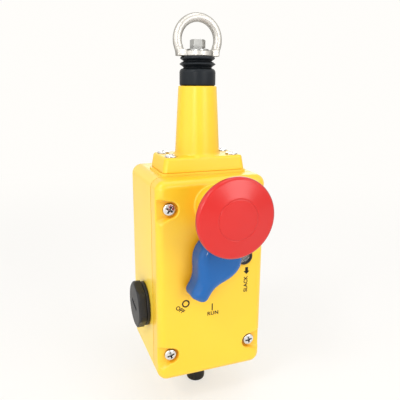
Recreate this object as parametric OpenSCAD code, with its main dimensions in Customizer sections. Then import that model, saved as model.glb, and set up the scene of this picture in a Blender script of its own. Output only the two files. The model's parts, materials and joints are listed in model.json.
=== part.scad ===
// Rope pull safety switch with a reset knob and an emergency stop button.
// Frame: origin at the centre of the four rear fixing holes, on the back face.
// +X is right seen from the front, +Y points to the wall, +Z is up, along the pull shaft.

/* [Housing] */
// Width of the housing and the cover
body_w = 88; // [84:1:104]
// Height of the housing and the cover
body_h = 162; // [158:1:190]
// Depth from the back face to the front face of the cover
body_d = 80; // [79:1:92]
// Depth of the cover, from the gasket to its front face
cover_d = 15; // [14.5:0.5:18]
// Wall thickness of the castings
wall = 4.5; // [4:0.1:5]
// Radius of the four long corners
corner_r = 8; // [7:0.5:11]
// Radius of the rounded rear edge of the housing
rear_edge_r = 3; // [1.5:0.5:4]
// Thickness of the cover gasket
gasket_t = 1.5; // [1:0.1:2]
// Rear fixing holes, centre distance across
fix_dx = 44; // [36:1:48]
// Rear fixing holes, distance of each from the top or bottom
fix_edge = 12; // [10:0.5:13]
// Radius of a rear fixing hole, for an M5 screw
fix_r = 2.75; // [2.6:0.05:3.2]

/* [Cover] */
// Radius of the rounded front edge of the cover
edge_r = 6; // [3:0.5:6.5]
// Cover screws, distance of each from the centre line across
cover_screw_x = 33.8; // [32.5:0.1:35]
// Cover screws, distance of each from the top or bottom of the cover
cover_screw_edge = 21.75; // [19:0.25:22]
// Depth of the pockets that the cover screws sit in
pocket_depth = 4; // [3.2:0.1:4.4]
// Radius of the pocket floor round a screw
pocket_r = 6.3; // [6:0.1:7]

/* [Head] */
// Distance of the pull shaft from the front face of the cover
shaft_from_front = 36.5; // [35.5:0.5:38]
// Height of the raised pad under the head
pad_h = 1.8; // [1:0.1:3]
// Thickness of the head gasket
head_gasket_t = 1; // [0.5:0.1:1.5]
// Width of the head block at its foot
block_w = 66.8; // [64:0.2:70]
// Depth of the head block at its foot
block_d = 38.5; // [37:0.5:42]
// Height of the head block
block_h = 10.3; // [9:0.1:13]
// Draft of the head block, per side
block_draft = 1.7; // [0.5:0.1:2.5]
// Radius of the neck at its foot
neck_r1 = 17.6; // [16.5:0.1:18.4]
// Radius of the neck at its top
neck_r2 = 14.8; // [14.4:0.1:16]
// Height of the neck above the block
neck_h = 52.7; // [48:0.1:70]

/* [Eye and boot] */
// Height of the rubber boot
boot_h = 21.8; // [20:0.1:28]
// Outer radius of the boot's plain foot
boot_r = 13.5; // [12.8:0.1:14]
// Wall thickness of the boot
boot_t = 1.5; // [1.2:0.1:1.8]
// Radius of the eye ring, to the middle of its wire
eye_r = 16.2; // [15.5:0.1:20]
// Radius of the ring's wire
eye_wire_r = 3.36; // [3:0.02:3.8]
// Height of the ring's centre above its foot
eye_rise = 12; // [11:0.1:15]
// Half width of the ring's foot
eye_foot_x = 16.3; // [15.8:0.1:18]
// Thickness of the ring's foot
eye_foot_h = 4.2; // [3.5:0.1:5.5]

/* [Pull shaft and spring] */
// Radius of the pull shaft
shaft_r = 5; // [4.5:0.1:5.2]
// Travel of the pull shaft
pull_travel = 12; // [6:1:12]
// Length of the main spring with the rope slack
spring_len = 38; // [34:1:40]
// Radius of the main spring, to the middle of its wire
spring_r = 7.7; // [7.4:0.1:8.2]
// Radius of the main spring's wire
spring_wire_r = 1.2; // [0.9:0.05:1.3]
// Turns of the main spring
spring_turns = 6; // [5:1:7]

/* [Cam and guide] */
// Height of the plungers above the knob's axis
cam_rise = 4; // [3:0.5:5]
// Travel of a contact plunger for each unit that the shaft travels
cam_slope = 0.25; // [0.1:0.01:0.25]
// Depth of the cam slider
cam_d = 17; // [15:0.5:17.5]
// Thickness of the sheet metal plates
plate_t = 2; // [1.5:0.1:2.5]
// Distance of the chassis plate's rear face from the front face of the cover
chassis_from_front = 62; // [61:0.5:63]

/* [Contacts] */
// Gap between a contact block and the side wall
contact_gap = 2.2; // [1.5:0.1:2.4]
// Height of a contact block
contact_h = 56; // [54:1:56]
// Radius of a contact plunger
plunger_r = 2.5; // [2:0.1:2.8]
// Thickness of the brass strips
strip_t = 1; // [0.6:0.1:1.2]

/* [Emergency button] */
// Distance of the button's axis from the top of the cover
button_from_top = 19.7; // [19:0.1:21]
// Radius of the mushroom cap
button_r = 28.7; // [26:0.1:30]
// Distance from the cover's face to the back edge of the cap's rim
button_reach = 36.5; // [35:0.5:40]
// Thickness of the cap's rim
button_rim = 5; // [4:0.1:6]
// Rise of the cap's domed front above its rim
button_dome = 4; // [3:0.1:6]
// Travel of the button
button_travel = 5; // [3:0.1:5]
// Radius of the button's stem
stem_r = 6; // [5:0.1:6.2]

/* [Reset knob] */
// Distance of the knob's axis below the button's axis
knob_drop = 38.3; // [37.5:0.1:39.5]
// Radius of the knob's round part
knob_r = 17.8; // [16:0.1:18.5]
// Length from the knob's axis to the tip of its handle
knob_reach = 34.2; // [30:0.1:38]
// Half width of the handle
knob_grip = 8; // [7:0.1:9]
// Thickness of the knob
knob_t = 15; // [13:0.1:17.5]
// Gap between the knob and the cover
knob_gap = 5.5; // [3.5:0.1:6]
// Turn between the off mark and the run mark, in degrees
knob_turn = 30; // [20:1:30]
// Radius of the knob's shaft
knob_shaft_r = 5; // [4.5:0.1:5.5]
// Distance of the crank pin from the knob's axis
crank_r = 10; // [9.5:0.1:10.5]

/* [Indicator] */
// Distance of the window from the centre line
window_x = 27; // [26.5:0.1:28]
// Distance of the window's middle below the knob's axis
window_drop = 7; // [6:0.5:8]
// Outer radius of the window's ring
window_r = 6.5; // [6:0.1:7]

/* [Conduit entries] */
// Height of the side entries below mid height
entry_drop = 30.4; // [30:0.1:34]
// Distance of the entries from the back face
entry_from_back = 40; // [38:0.5:44]
// Radius of a side entry's thread
entry_r = 12.5; // [10:0.1:12.8]
// Across flats of a side plug
plug_af = 32; // [30:0.5:34]
// Radius of the bottom entry's thread
socket_r = 10; // [8:0.1:10.5]
// Across flats of the socket's hexagon
socket_af = 24; // [23:0.5:27]
// Radius of the socket's dust cap
dust_cap_r = 7.4; // [7.2:0.1:8]
// Distance from the underside of the housing to the end of the dust cap
socket_drop = 28.8; // [26:0.1:34]

/* [Fits] */
// Radial clearance of shafts in their bushes
run_fit = 0.05; // [0.02:0.01:0.09]
// Clearance between moving pieces that don't bear on each other
free_gap = 0.3; // [0.3:0.05:0.35]
// Radial clearance of screws and pins in their holes
seat_fit = 0.03; // [0.01:0.01:0.05]

/* [Hidden] */
$fn = 64;

half_w = body_w / 2;
half_h = body_h / 2;
face_y = -body_d;
seam_y = cover_d - body_d;
housing_d = body_d - cover_d - gasket_t;
roof_y = face_y + wall;
shaft_y = face_y + shaft_from_front;
chassis_back = body_d - chassis_from_front;
cover_screw_z = half_h - cover_screw_edge;
fix_z = half_h - fix_edge;
button_z = half_h - button_from_top;
knob_z = button_z - knob_drop;
cam_z = knob_z + cam_rise;
window_z = knob_z - window_drop;
inside_r = corner_r - wall;

// Heights up the head, from the pad to the ring
pad_z = half_h + pad_h;
block_z = pad_z + head_gasket_t;
block_top = block_z + block_h;
neck_top = block_top + neck_h;
eye_foot_z = neck_top + boot_h;
eye_z = eye_foot_z + eye_rise;
block_corner = 4;
pad_front = max(shaft_y - block_d / 2 - 1.5, -housing_d);
pad_back = shaft_y + block_d / 2 + 1.5;
neck_fillet = 2;
neck_side = block_d / 2 - block_draft / 2 - 0.5;
head_screw_x = block_w / 2 - 8.4;
head_screw_y = block_d / 2 - 8.75;
head_screw_r = 2.5;
head_screw_len = 22;

// Spring chamber inside the neck
chamber_r = spring_r + spring_wire_r + 2.1;
bush_flange_h = 2;
bush_wall = 2.5;
lower_flange_h = 4.2;
clip_t = 1.2;
collar_t = 4;
seat_t = 1.5;
clip_z = pad_z + lower_flange_h + free_gap;
collar_z = clip_z + clip_t;
spring_z = collar_z + collar_t;
seat_z = spring_z + spring_len;
chamber_top = seat_z + seat_t + bush_flange_h;
spigot_h = 7;
spigot_r = boot_r - boot_t - seat_fit;
seal_h = 3;

// Cam slider, guide block and the plates that carry them
chassis_y = -chassis_back - plate_t;
room_x = half_w - wall;
room_k = room_x / 39.5;
cam_left = shaft_r + 6 * room_k;
cam_right = shaft_r + 3;
cam_over = 3.5;
cam_run = pull_travel + 3;
cam_top = cam_z + 17;
cam_bottom = cam_z - cam_run - 2;
cam_front = shaft_y - cam_d / 2;
channel_half = cam_left + cam_slope * cam_over + 0.4;
contact_x1 = room_x - contact_gap;
contact_x0 = contact_x1 - 21 * room_k;
guide_half = contact_x0 - 0.3;
guide_front = cam_front - free_gap - 2.7;
guide_top = cam_z + 21;
guide_floor = cam_bottom - 3.5;
guide_bottom = guide_floor - 14.5;
latch_front = guide_front - plate_t;
shaft_bottom = guide_bottom - 4;
arm_z = cam_bottom + 1;
arm_h = 6;
arm_half = 2;
slot_half = arm_half + 1;
slot_z1 = arm_z + arm_h + pull_travel + 1;

// Trip lever in front of the latch plate
trip_z = cam_top;
trip_y = latch_front - 3;
trip_pin_r = 1.5;
knuckle_r = 2.5;
nose_r = 3;
nose_y = trip_y - 4.8;
pad_y = nose_y + free_gap;
lever_t = 2.5;

// Reset slide, moved by the knob's crank pin
slide_back = latch_front - 0.8;
slide_t = 2.5;
slide_z0 = knob_z + 7;
slide_z1 = slide_z0 + 8;
stud_x = 12;
stud_r = 1.5;
crank_pin_r = 1.5;
crank_half = knob_turn / 2;
crank_stroke = 2 * crank_r * sin(crank_half);
crank_x = crank_r * sin(crank_half);
crank_z = knob_z + crank_r * cos(crank_half);

// Contact blocks either side of the guide block
contact_z0 = cam_z - 31;
contact_z1 = contact_z0 + contact_h;
contact_front = guide_front - 1;
lid_t = 1.2;
cell_x0 = contact_x0 + 4 * room_k;
cell_x1 = contact_x1 - 3.5 * room_k;
cell_half = cam_d / 2 - 1.5;
cell_z0 = cam_z - 12;
cell_z1 = cam_z + 12;
terminal_y = contact_front + 5;
bridge_x = cell_x0 + 7.5 * room_k;
bridge_t = 1.2;
bridge_len = 18;
tip_r = 1.5;
tip_h = 1;
cam_angle = atan(cam_slope);
plunger_ball_gap = (plunger_r + free_gap) / cos(cam_angle);
plunger_stroke = cam_slope * pull_travel;

// Emergency button
collar_r = 15;
tube_r = 11;
boss_r1 = 21;
boss_r2 = 16.5;
boss_h = 4.5;
tube_back = roof_y + 4.7;
stem_back = tube_back + 3.3;
stem_clip_y = tube_back + free_gap;
button_recess_r = tube_r - 1.2;
hub_r = 9;
hub_reach = button_reach - 12.5;
collar_neck_reach = hub_reach - button_travel - 2;

// Reset knob
knob_back = face_y - knob_gap;
knob_front = knob_back - knob_t;
knob_boss_h = knob_gap - 1.5;
crank_disc_y = roof_y + 4;
crank_disc_t = 3;
crank_disc_r = crank_r + 2.5;
knob_bush_r = knob_shaft_r + 2.4;
grip_corner = 5;
grip_fillet = 14;

// Conduit entries
entry_y = -entry_from_back;
entry_z = -entry_drop;
plug_seal_t = 1;
plug_flange_t = 2.7;
plug_hex_t = 6;
socket_y = -entry_from_back - 2;
socket_seal_t = 2;
socket_hex_t = 6;
socket_nose_r = 6;

yellow = "#f9cf2b";
steel = "#c9c9c4";
zinc = "#d8d6cc";
black = "#26282b";
brass = "#c9a24a";

// Box given by its lowest and highest corners
module box(x0, x1, y0, y1, z0, z1) {
    translate([x0, y0, z0]) cube([x1 - x0, y1 - y0, z1 - z0]);
}

// Round rods along each axis
module rod_x(r, x0, x1, y = 0, z = 0) {
    translate([x0, y, z]) rotate([0, 90, 0]) cylinder(r = r, h = x1 - x0);
}
module rod_y(r, y0, y1, x = 0, z = 0) {
    translate([x, y1, z]) rotate([90, 0, 0]) cylinder(r = r, h = y1 - y0);
}
module rod_z(r, z0, z1, x = 0, y = 0) {
    translate([x, y, z0]) cylinder(r = r, h = z1 - z0);
}

// Turns a shape that points up so that it points to the front, from depth y
module forward(y, x = 0, z = 0) {
    translate([x, y, z]) rotate([90, 0, 0]) children();
}

// Repeats a shape at the four corners of a rectangle in X and Z
module four_corners(dx, dz) {
    for (sx = [-1, 1], sz = [-1, 1]) translate([sx * dx, 0, sz * dz]) children();
}

module rounded_rect(w, h, r) {
    square([w - 2 * r, h], center = true);
    square([w, h - 2 * r], center = true);
    for (sx = [-1, 1], sz = [-1, 1])
        translate([sx * (w / 2 - r), sz * (h / 2 - r)]) circle(r);
}

// Prism with a rounded outline in X and Z, from depth y0 back to depth y1
module prism(w, h, r, y0, y1) {
    forward(y1) linear_extrude(y1 - y0) rounded_rect(w, h, r);
}

// Coil of round wire standing on its lower end
module coil(r, wire_r, length, turns, steps = 16, sides = 8) {
    rings = turns * steps;
    rise = (length - 2 * wire_r) / rings;
    points = [for (i = [0:rings], j = [0:sides - 1])
        let (a = i * 360 / steps, b = j * 360 / sides, d = r + wire_r * cos(b))
        [d * cos(a), d * sin(a), wire_r + rise * i + wire_r * sin(b)]];
    skin = [for (i = [0:rings - 1], j = [0:sides - 1])
        let (k = (j + 1) % sides)
        [i * sides + j, i * sides + k, (i + 1) * sides + k, (i + 1) * sides + j]];
    first = [for (j = [sides - 1:-1:0]) j];
    last = [for (j = [0:sides - 1]) rings * sides + j];
    polyhedron(points = points, faces = concat(skin, [first, last]), convexity = 10);
}

// Screw with a pan head, pointing down, the underside of its head at z = 0
module pan_screw(r, length, head_r, head_h) {
    translate([0, 0, -length]) cylinder(r = r, h = length + 0.1);
    difference() {
        union() {
            cylinder(r = head_r, h = head_h * 0.55);
            translate([0, 0, head_h * 0.55])
                cylinder(r1 = head_r, r2 = head_r * 0.72, h = head_h * 0.45);
        }
        for (a = [0, 90])
            rotate(a) translate([-head_r * 0.55, -head_r * 0.11, head_h * 0.4])
                cube([head_r * 1.1, head_r * 0.22, head_h]);
    }
}

module hexagon_prism(af, h) {
    cylinder(r = af / sqrt(3), h = h, $fn = 6);
}

module ring(r_out, r_in, h) {
    difference() {
        cylinder(r = r_out, h = h);
        translate([0, 0, -1]) cylinder(r = r_in, h = h + 2);
    }
}

// Open ring that snaps into a groove
module snap_ring(r_out, r_in, h) {
    difference() {
        ring(r_out, r_in, h);
        translate([0, -r_in * 0.6, -1]) cube([r_out + 1, r_in * 1.2, h + 2]);
    }
}

module at_shaft() {
    translate([0, shaft_y, 0]) children();
}

// ---- housing and cover ----

// Block with rounded corners, its last edge rounded too, from y0 forward by the depth
module rounded_box(y0, depth, edge) {
    hull() for (sx = [-1, 1], sz = [-1, 1])
        forward(y0, sx * (half_w - corner_r), sz * (half_h - corner_r)) {
            cylinder(r = corner_r, h = depth - edge, $fn = 32);
            translate([0, 0, depth - edge]) rotate_extrude($fn = 32)
                intersection() {
                    translate([corner_r - edge, 0]) circle(edge, $fn = 32);
                    square([corner_r, edge]);
                }
        }
}

module housing() {
    boss_r = 6;
    color(yellow) difference() {
        union() {
            difference() {
                mirror([0, 1, 0]) rounded_box(housing_d, housing_d, rear_edge_r);
                prism(body_w - 2 * wall, body_h - 2 * wall, inside_r, -housing_d - 1, -wall);
            }
            // Pillars for the cover screws, joined to the side walls
            four_corners(cover_screw_x, cover_screw_z)
                rod_y(boss_r, -housing_d, -1);
            for (sx = [-1, 1], sz = [-1, 1])
                mirror([sx < 0 ? 1 : 0, 0, 0])
                    box(cover_screw_x, half_w - 1, -housing_d, -1,
                        sz * cover_screw_z - 4, sz * cover_screw_z + 4);
            // Posts for the chassis plate
            for (p = chassis_points) rod_y(4.5, -chassis_back, -1, p[0], p[1]);
            // Post for the earth screw
            rod_y(5, -wall - 6, -1, 0, earth_z);
            // Pad for the head, and the pillars for its screws
            translate([0, (pad_front + pad_back) / 2, half_h - 1]) linear_extrude(pad_h + 1)
                rounded_rect(block_w + 3, pad_back - pad_front, block_corner + 1);
            for (sx = [-1, 1], sy = [-1, 1])
                rod_z(4.6, half_h - 15, half_h - 1, sx * head_screw_x, shaft_y + sy * head_screw_y);
        }
        four_corners(cover_screw_x, cover_screw_z)
            rod_y(2.5, -housing_d - 1, -housing_d + 17);
        four_corners(fix_dx / 2, fix_z)
            rod_y(fix_r, -wall - 1, 1);
        for (p = chassis_points) rod_y(2, -chassis_back - 1, -wall - 1, p[0], p[1]);
        rod_y(2, -wall - 7, -wall, 0, earth_z);
        for (sx = [-1, 1], sy = [-1, 1])
            rod_z(head_screw_r, pad_z - 17, pad_z + 1, sx * head_screw_x,
                shaft_y + sy * head_screw_y);
        at_shaft() rod_z(shaft_r + run_fit + bush_wall + seat_fit, half_h - wall - 5, pad_z + 1);
        rod_x(entry_r, -half_w - 1, half_w + 1, entry_y, entry_z);
        rod_z(socket_r, -half_h - 1, -half_h + wall + 1, 0, socket_y);
    }
}

chassis_low = cam_z - 41;
chassis_high = cam_z + 35;
chassis_points = [[-26, chassis_low + 4.5], [26, chassis_low + 4.5],
    [-21, chassis_high - 5], [21, chassis_high - 5]];
earth_z = 23 - half_h;

// Pocket for one cover screw, widening to the side of the cover
module screw_pocket() {
    floor_y = face_y + pocket_depth;
    hull() {
        forward(floor_y) cylinder(r1 = pocket_r, r2 = pocket_r + 2.6, h = pocket_depth + 0.5, $fn = 32);
        forward(floor_y, half_w - cover_screw_x + 5)
            cylinder(r1 = pocket_r + 1.6, r2 = pocket_r + 4.2, h = pocket_depth + 0.5, $fn = 32);
    }
}

module cover() {
    color(yellow) difference() {
        union() {
            difference() {
                rounded_box(seam_y, cover_d, edge_r);
                prism(body_w - 2 * wall, body_h - 2 * wall, inside_r, roof_y, seam_y + 1);
            }
            for (sx = [-1, 1], sz = [-1, 1])
                mirror([sx < 0 ? 1 : 0, 0, 0]) {
                    rod_y(9.4, roof_y - 1, seam_y, cover_screw_x, sz * cover_screw_z);
                    box(cover_screw_x, half_w - 2, roof_y - 1, seam_y,
                        sz * cover_screw_z - 9.4, sz * cover_screw_z + 9.4);
                }
            // Cone under the button, cut level with the top of the cover
            intersection() {
                forward(face_y + 4, 0, button_z) {
                    cylinder(r = boss_r1, h = 4);
                    translate([0, 0, 4]) cylinder(r1 = boss_r1, r2 = boss_r2, h = boss_h);
                }
                box(-half_w, half_w, face_y - boss_h - 1, face_y + 4, 0, half_h - 1.2);
            }
            // Boss in front and behind for the knob's bush
            forward(face_y + 1, 0, knob_z) cylinder(r = knob_bush_r + 3, h = 1 + knob_boss_h);
            rod_y(knob_bush_r + 3, roof_y - 1, roof_y + 3, 0, knob_z);
        }
        for (sx = [-1, 1], sz = [-1, 1])
            mirror([sx < 0 ? 1 : 0, 0, 0])
                translate([cover_screw_x, 0, sz * cover_screw_z]) screw_pocket();
        four_corners(cover_screw_x, cover_screw_z) rod_y(2.75, face_y, seam_y + 1);
        rod_y(tube_r + 0.15, face_y - boss_h - 1, roof_y + 1, 0, button_z);
        rod_y(knob_bush_r + seat_fit, face_y - knob_boss_h - 1, roof_y + 4, 0, knob_z);
        rod_y(window_r + seat_fit, face_y - 1, face_y + 2, window_x, window_z);
        rod_y(window_r - 1.5, face_y, roof_y + 1, window_x, window_z);
    }
}

module cover_gasket() {
    lip = 0.8;
    color(black) difference() {
        prism(body_w - 2 * lip, body_h - 2 * lip, corner_r - lip, seam_y, seam_y + gasket_t);
        prism(body_w - 2 * wall, body_h - 2 * wall, inside_r, seam_y - 1, seam_y + gasket_t + 1);
    }
}

module cover_screws() {
    seat_y = face_y + pocket_depth;
    color(zinc) four_corners(cover_screw_x, cover_screw_z)
        forward(seat_y) pan_screw(2.5 - seat_fit, -housing_d + 14 - seat_y, 4.75, 3);
}

// ---- head ----

module block_shell(w, d, h, draft) {
    hull() for (sx = [-1, 1], sy = [-1, 1]) {
        translate([sx * (w / 2 - block_corner), sy * (d / 2 - block_corner), 0])
            cylinder(r = block_corner, h = 0.01, $fn = 32);
        translate([sx * (w / 2 - block_corner - draft), sy * (d / 2 - block_corner - draft / 2),
            h - 0.5]) cylinder(r1 = block_corner, r2 = block_corner - 0.5, h = 0.5, $fn = 32);
    }
}

module head() {
    color(yellow) at_shaft() difference() {
        union() {
            translate([0, 0, block_z]) block_shell(block_w, block_d, block_h, block_draft);
            // Neck with a filleted foot, kept inside the edges of the block
            intersection() {
                translate([0, 0, block_top]) rotate_extrude() difference() {
                    polygon([[0, -1], [neck_r1 + neck_fillet, -1], [neck_r1 + neck_fillet, 0],
                        [neck_r1, neck_fillet], [neck_r2, neck_h - 1], [neck_r2 - 1, neck_h],
                        [0, neck_h]]);
                    translate([neck_r1 + neck_fillet, neck_fillet]) circle(neck_fillet);
                }
                box(-neck_r1 * 2, neck_r1 * 2, -neck_side, neck_side, block_top - 1, neck_top + 1);
            }
            rod_z(spigot_r, neck_top - 1, neck_top + spigot_h);
        }
        rod_z(chamber_r, block_z - 1, chamber_top);
        rod_z(shaft_r + run_fit + bush_wall + seat_fit, chamber_top - 1, neck_top + spigot_h + 1);
        for (sx = [-1, 1], sy = [-1, 1])
            rod_z(2.75, block_z - 1, block_top + 1, sx * head_screw_x, sy * head_screw_y);
    }
}

module head_gasket() {
    color(black) at_shaft() difference() {
        box(-block_w / 2 + 0.8, block_w / 2 - 0.8, -block_d / 2 + 0.8, block_d / 2 - 0.8,
            pad_z, block_z);
        rod_z(chamber_r, pad_z - 1, block_z + 1);
        for (sx = [-1, 1], sy = [-1, 1])
            rod_z(2.75, pad_z - 1, block_z + 1, sx * head_screw_x, sy * head_screw_y);
    }
}

module head_screws() {
    color(zinc) at_shaft() for (sx = [-1, 1], sy = [-1, 1])
        translate([sx * head_screw_x, sy * head_screw_y, block_top])
            pan_screw(head_screw_r - seat_fit, head_screw_len, 4.4, 2.8);
}

// ---- boot, eye and shaft ----

module boot() {
    foot = 10.8;
    lip_r = shaft_r + run_fit;
    fold = (boot_h - foot - 1.2) / 4;
    top_r = boot_r - 1.3;
    // Outline from the foot up through two folds, then back down inside
    outer = [[boot_r, 0], [boot_r, foot - 1.2], [boot_r - 1.2, foot], [boot_r - 2.4, foot + 0.8],
        [boot_r + 0.2, foot + fold], [boot_r - 2.9, foot + 2 * fold],
        [boot_r - 0.4, foot + 3 * fold], [boot_r - 2.2, foot + 4 * fold - 0.4],
        [top_r, boot_h - 1.2], [top_r, boot_h]];
    inner = [[lip_r, boot_h], [lip_r, boot_h - 1.5], [boot_r - 4, boot_h - 1.5],
        [boot_r - 2.4, foot + 3 * fold], [boot_r - 4.6, foot + 2 * fold],
        [boot_r - 2, foot + fold], [boot_r - 4, foot + 0.4], [boot_r - boot_t, foot - 2],
        [boot_r - boot_t, 0]];
    color(black) at_shaft() translate([0, 0, neck_top])
        rotate_extrude() polygon(concat(outer, inner));
}

module eye_ring() {
    lean = 18;
    leg = (eye_rise - eye_r * sin(lean)) / cos(lean) + 1;
    disc_r = 11.4;
    color(steel) at_shaft() difference() {
        union() {
            translate([0, 0, eye_z]) rotate([90, 0, 0]) rotate(-lean)
                rotate_extrude(angle = 180 + 2 * lean) translate([eye_r, 0]) circle(eye_wire_r);
            for (sx = [0, 1]) mirror([sx, 0, 0])
                translate([eye_r * cos(lean), 0, eye_z - eye_r * sin(lean)])
                    rotate([0, 180 + lean, 0]) translate([0, 0, -0.3])
                        cylinder(r = eye_wire_r + 0.05, h = leg + 0.3);
            box(-eye_foot_x, eye_foot_x, -eye_wire_r - 0.2, eye_wire_r + 0.2,
                eye_foot_z, eye_foot_z + eye_foot_h);
            rod_z(disc_r, eye_foot_z, eye_foot_z + eye_foot_h - 0.4);
        }
        translate([0, 0, eye_foot_z - 5]) cube([60, 60, 10], center = true);
        rod_z(3.1, eye_foot_z - 1, eye_foot_z + eye_foot_h + 1);
    }
}

module eye_bolt() {
    top = eye_foot_z + eye_foot_h;
    color(zinc) at_shaft() {
        rod_z(3, eye_foot_z - 12, top + 0.5);
        rod_z(7.3, top, top + 1);
        translate([0, 0, top + 1]) cylinder(r1 = 7.3, r2 = 5.6, h = 0.8);
        intersection() {
            translate([0, 0, top + 0.5]) hexagon_prism(10, 6.8);
            translate([0, 0, top]) cylinder(r1 = 11.5, r2 = 4.6, h = 8.6);
        }
    }
}

module pull_shaft() {
    groove = clip_z - 0.05;
    color(steel) at_shaft() difference() {
        rod_z(shaft_r, shaft_bottom, eye_foot_z);
        rod_z(3.03, eye_foot_z - 14, eye_foot_z + 1);
        translate([0, 0, groove]) ring(shaft_r + 1, shaft_r - 0.8, clip_t + 0.1);
        rod_y(1.5, -shaft_r - 1, shaft_r + 1, 0, cam_top - 4);
    }
}

module top_bush() {
    color(brass) at_shaft() difference() {
        union() {
            rod_z(chamber_r - 2, chamber_top - bush_flange_h, chamber_top);
            rod_z(shaft_r + run_fit + bush_wall, chamber_top - 1, neck_top + spigot_h - seal_h - 0.2);
        }
        rod_z(shaft_r + run_fit, chamber_top - bush_flange_h - 1, neck_top + spigot_h);
    }
}

module shaft_seal() {
    color(black) at_shaft() translate([0, 0, neck_top + spigot_h - seal_h])
        ring(shaft_r + run_fit + bush_wall, shaft_r + run_fit, seal_h);
}

module lower_bush() {
    color(brass) at_shaft() difference() {
        union() {
            rod_z(shaft_r + run_fit + bush_wall, half_h - wall - 4, pad_z + 1);
            rod_z(chamber_r - 0.4, pad_z, pad_z + lower_flange_h);
        }
        rod_z(shaft_r + run_fit, half_h - wall - 6, pad_z + lower_flange_h + 1);
    }
}

module main_spring() {
    color(steel) at_shaft() translate([0, 0, spring_z])
        coil(spring_r, spring_wire_r, spring_len, spring_turns);
}

module spring_seat() {
    color(zinc) at_shaft() translate([0, 0, seat_z])
        ring(chamber_r - 0.6, shaft_r + free_gap, seat_t);
}

module spring_collar() {
    color(zinc) at_shaft() translate([0, 0, collar_z])
        ring(spring_r + spring_wire_r + 0.6, shaft_r + seat_fit, collar_t);
}

module collar_clip() {
    color(steel) at_shaft() translate([0, 0, clip_z])
        snap_ring(shaft_r + 2.4, shaft_r - 0.8 + seat_fit, clip_t);
}

// ---- cam, guide and latch ----

module cam_slider() {
    z0 = cam_z - cam_run;
    z1 = cam_z + cam_over;
    lo = cam_slope * cam_run;
    hi = cam_slope * cam_over;
    color("#e9e4d6") difference() {
        forward(shaft_y + cam_d / 2) linear_extrude(cam_d)
            polygon([[-cam_left + lo, cam_bottom], [-cam_left + lo, z0], [-cam_left - hi, z1],
                [-cam_left - hi, z1 + 2], [-cam_right, z1 + 5], [-cam_right, cam_top],
                [cam_right, cam_top], [cam_right, z1 + 2], [cam_right - hi, z1],
                [cam_right + lo, z0], [cam_right + lo, cam_bottom]]);
        at_shaft() rod_z(shaft_r + seat_fit, cam_bottom - 1, cam_top + 1);
        rod_y(1.5, cam_front - 1, shaft_y + cam_d / 2 + 1, 0, cam_top - 4);
    }
}

module slider_pin() {
    color(steel) rod_y(1.5 - seat_fit, cam_front, shaft_y + cam_d / 2, 0, cam_top - 4);
}

module chassis_plate() {
    color("#aab0b4") difference() {
        union() {
            box(-contact_x1 + 0.5, contact_x1 - 0.5, chassis_y, -chassis_back, chassis_low,
                contact_z1 + 1);
            box(-26, 26, chassis_y, -chassis_back, contact_z1, chassis_high);
        }
        for (p = chassis_points) rod_y(2.2, chassis_y - 1, 1 - chassis_back, p[0], p[1]);
        for (p = block_points) rod_y(2.2, chassis_y - 1, 1 - chassis_back, p[0], p[1]);
    }
}

module chassis_screws() {
    color(zinc) for (p = chassis_points)
        forward(chassis_y, p[0], p[1])
            pan_screw(2 - seat_fit, plate_t + chassis_back - wall - 2.5, 3.8, 2.4);
}

guide_low = cam_z - 31;
guide_points = [[-9, guide_low], [9, guide_low], [-9, cam_z + 15], [9, cam_z + 15]];
contact_screw_x = (contact_x0 + contact_x1) / 2;
contact_screws_z = [contact_z0 + 8, contact_z1 - 8];
contact_points = [for (sx = [-1, 1], z = contact_screws_z) [sx * contact_screw_x, z]];
block_points = concat(guide_points, contact_points);

module guide_block() {
    y1 = shaft_y + cam_d / 2 + free_gap;
    color("#3b4046") difference() {
        box(-guide_half, guide_half, guide_front, chassis_y, guide_bottom, guide_top);
        box(-channel_half, channel_half, cam_front - free_gap, y1, guide_floor, guide_top + 1);
        at_shaft() rod_z(shaft_r + run_fit, guide_bottom - 1, guide_floor + 1);
        box(-slot_half, slot_half, guide_front - 1, cam_front, arm_z - 1, slot_z1);
        rod_x(plunger_r + free_gap, -guide_half - 1, guide_half + 1, shaft_y, cam_z);
        for (p = guide_points) rod_y(2, chassis_y - 9, chassis_y + 1, p[0], p[1]);
        for (p = latch_points) rod_y(1.25, guide_front - 1, guide_front + 6, p[0], p[1]);
    }
}

// Screws from behind the chassis plate that hold the guide and contact blocks
module block_screws() {
    color(zinc) for (p = block_points)
        translate([p[0], -chassis_back, p[1]]) rotate([-90, 0, 0])
            pan_screw(2 - seat_fit, plate_t + 8, 3.8, 2.4);
}

latch_x = (channel_half + guide_half) / 2;
latch_points = [for (sx = [-1, 1], z = [trip_z + 1, cam_z - 25]) [sx * latch_x, z]];

module latch_plate() {
    ear_x = 9;
    color("#aab0b4") difference() {
        union() {
            box(-guide_half, guide_half, latch_front, guide_front, guide_low, guide_top);
            for (sx = [-1, 1]) mirror([sx < 0 ? 1 : 0, 0, 0]) {
                box(ear_x, ear_x + plate_t, trip_y, guide_front - 0.5, trip_z - 3, trip_z + 3);
                rod_x(3, ear_x, ear_x + plate_t, trip_y, trip_z);
            }
        }
        rod_x(trip_pin_r, -ear_x - 5, ear_x + 5, trip_y, trip_z);
        box(-slot_half, slot_half, latch_front - 1, guide_front + 1, arm_z - 1, slot_z1);
        for (p = latch_points) rod_y(1.4, latch_front - 1, guide_front + 1, p[0], p[1]);
        for (sx = [-1, 1]) rod_y(stud_r, latch_front - 1, guide_front + 1, sx * stud_x, slide_mid);
    }
}

slide_mid = (slide_z0 + slide_z1) / 2;

module latch_plate_screws() {
    color(zinc) for (p = latch_points)
        forward(latch_front, p[0], p[1]) pan_screw(1.25 - seat_fit, plate_t + 4.5, 2.1, 1.6);
}

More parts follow.
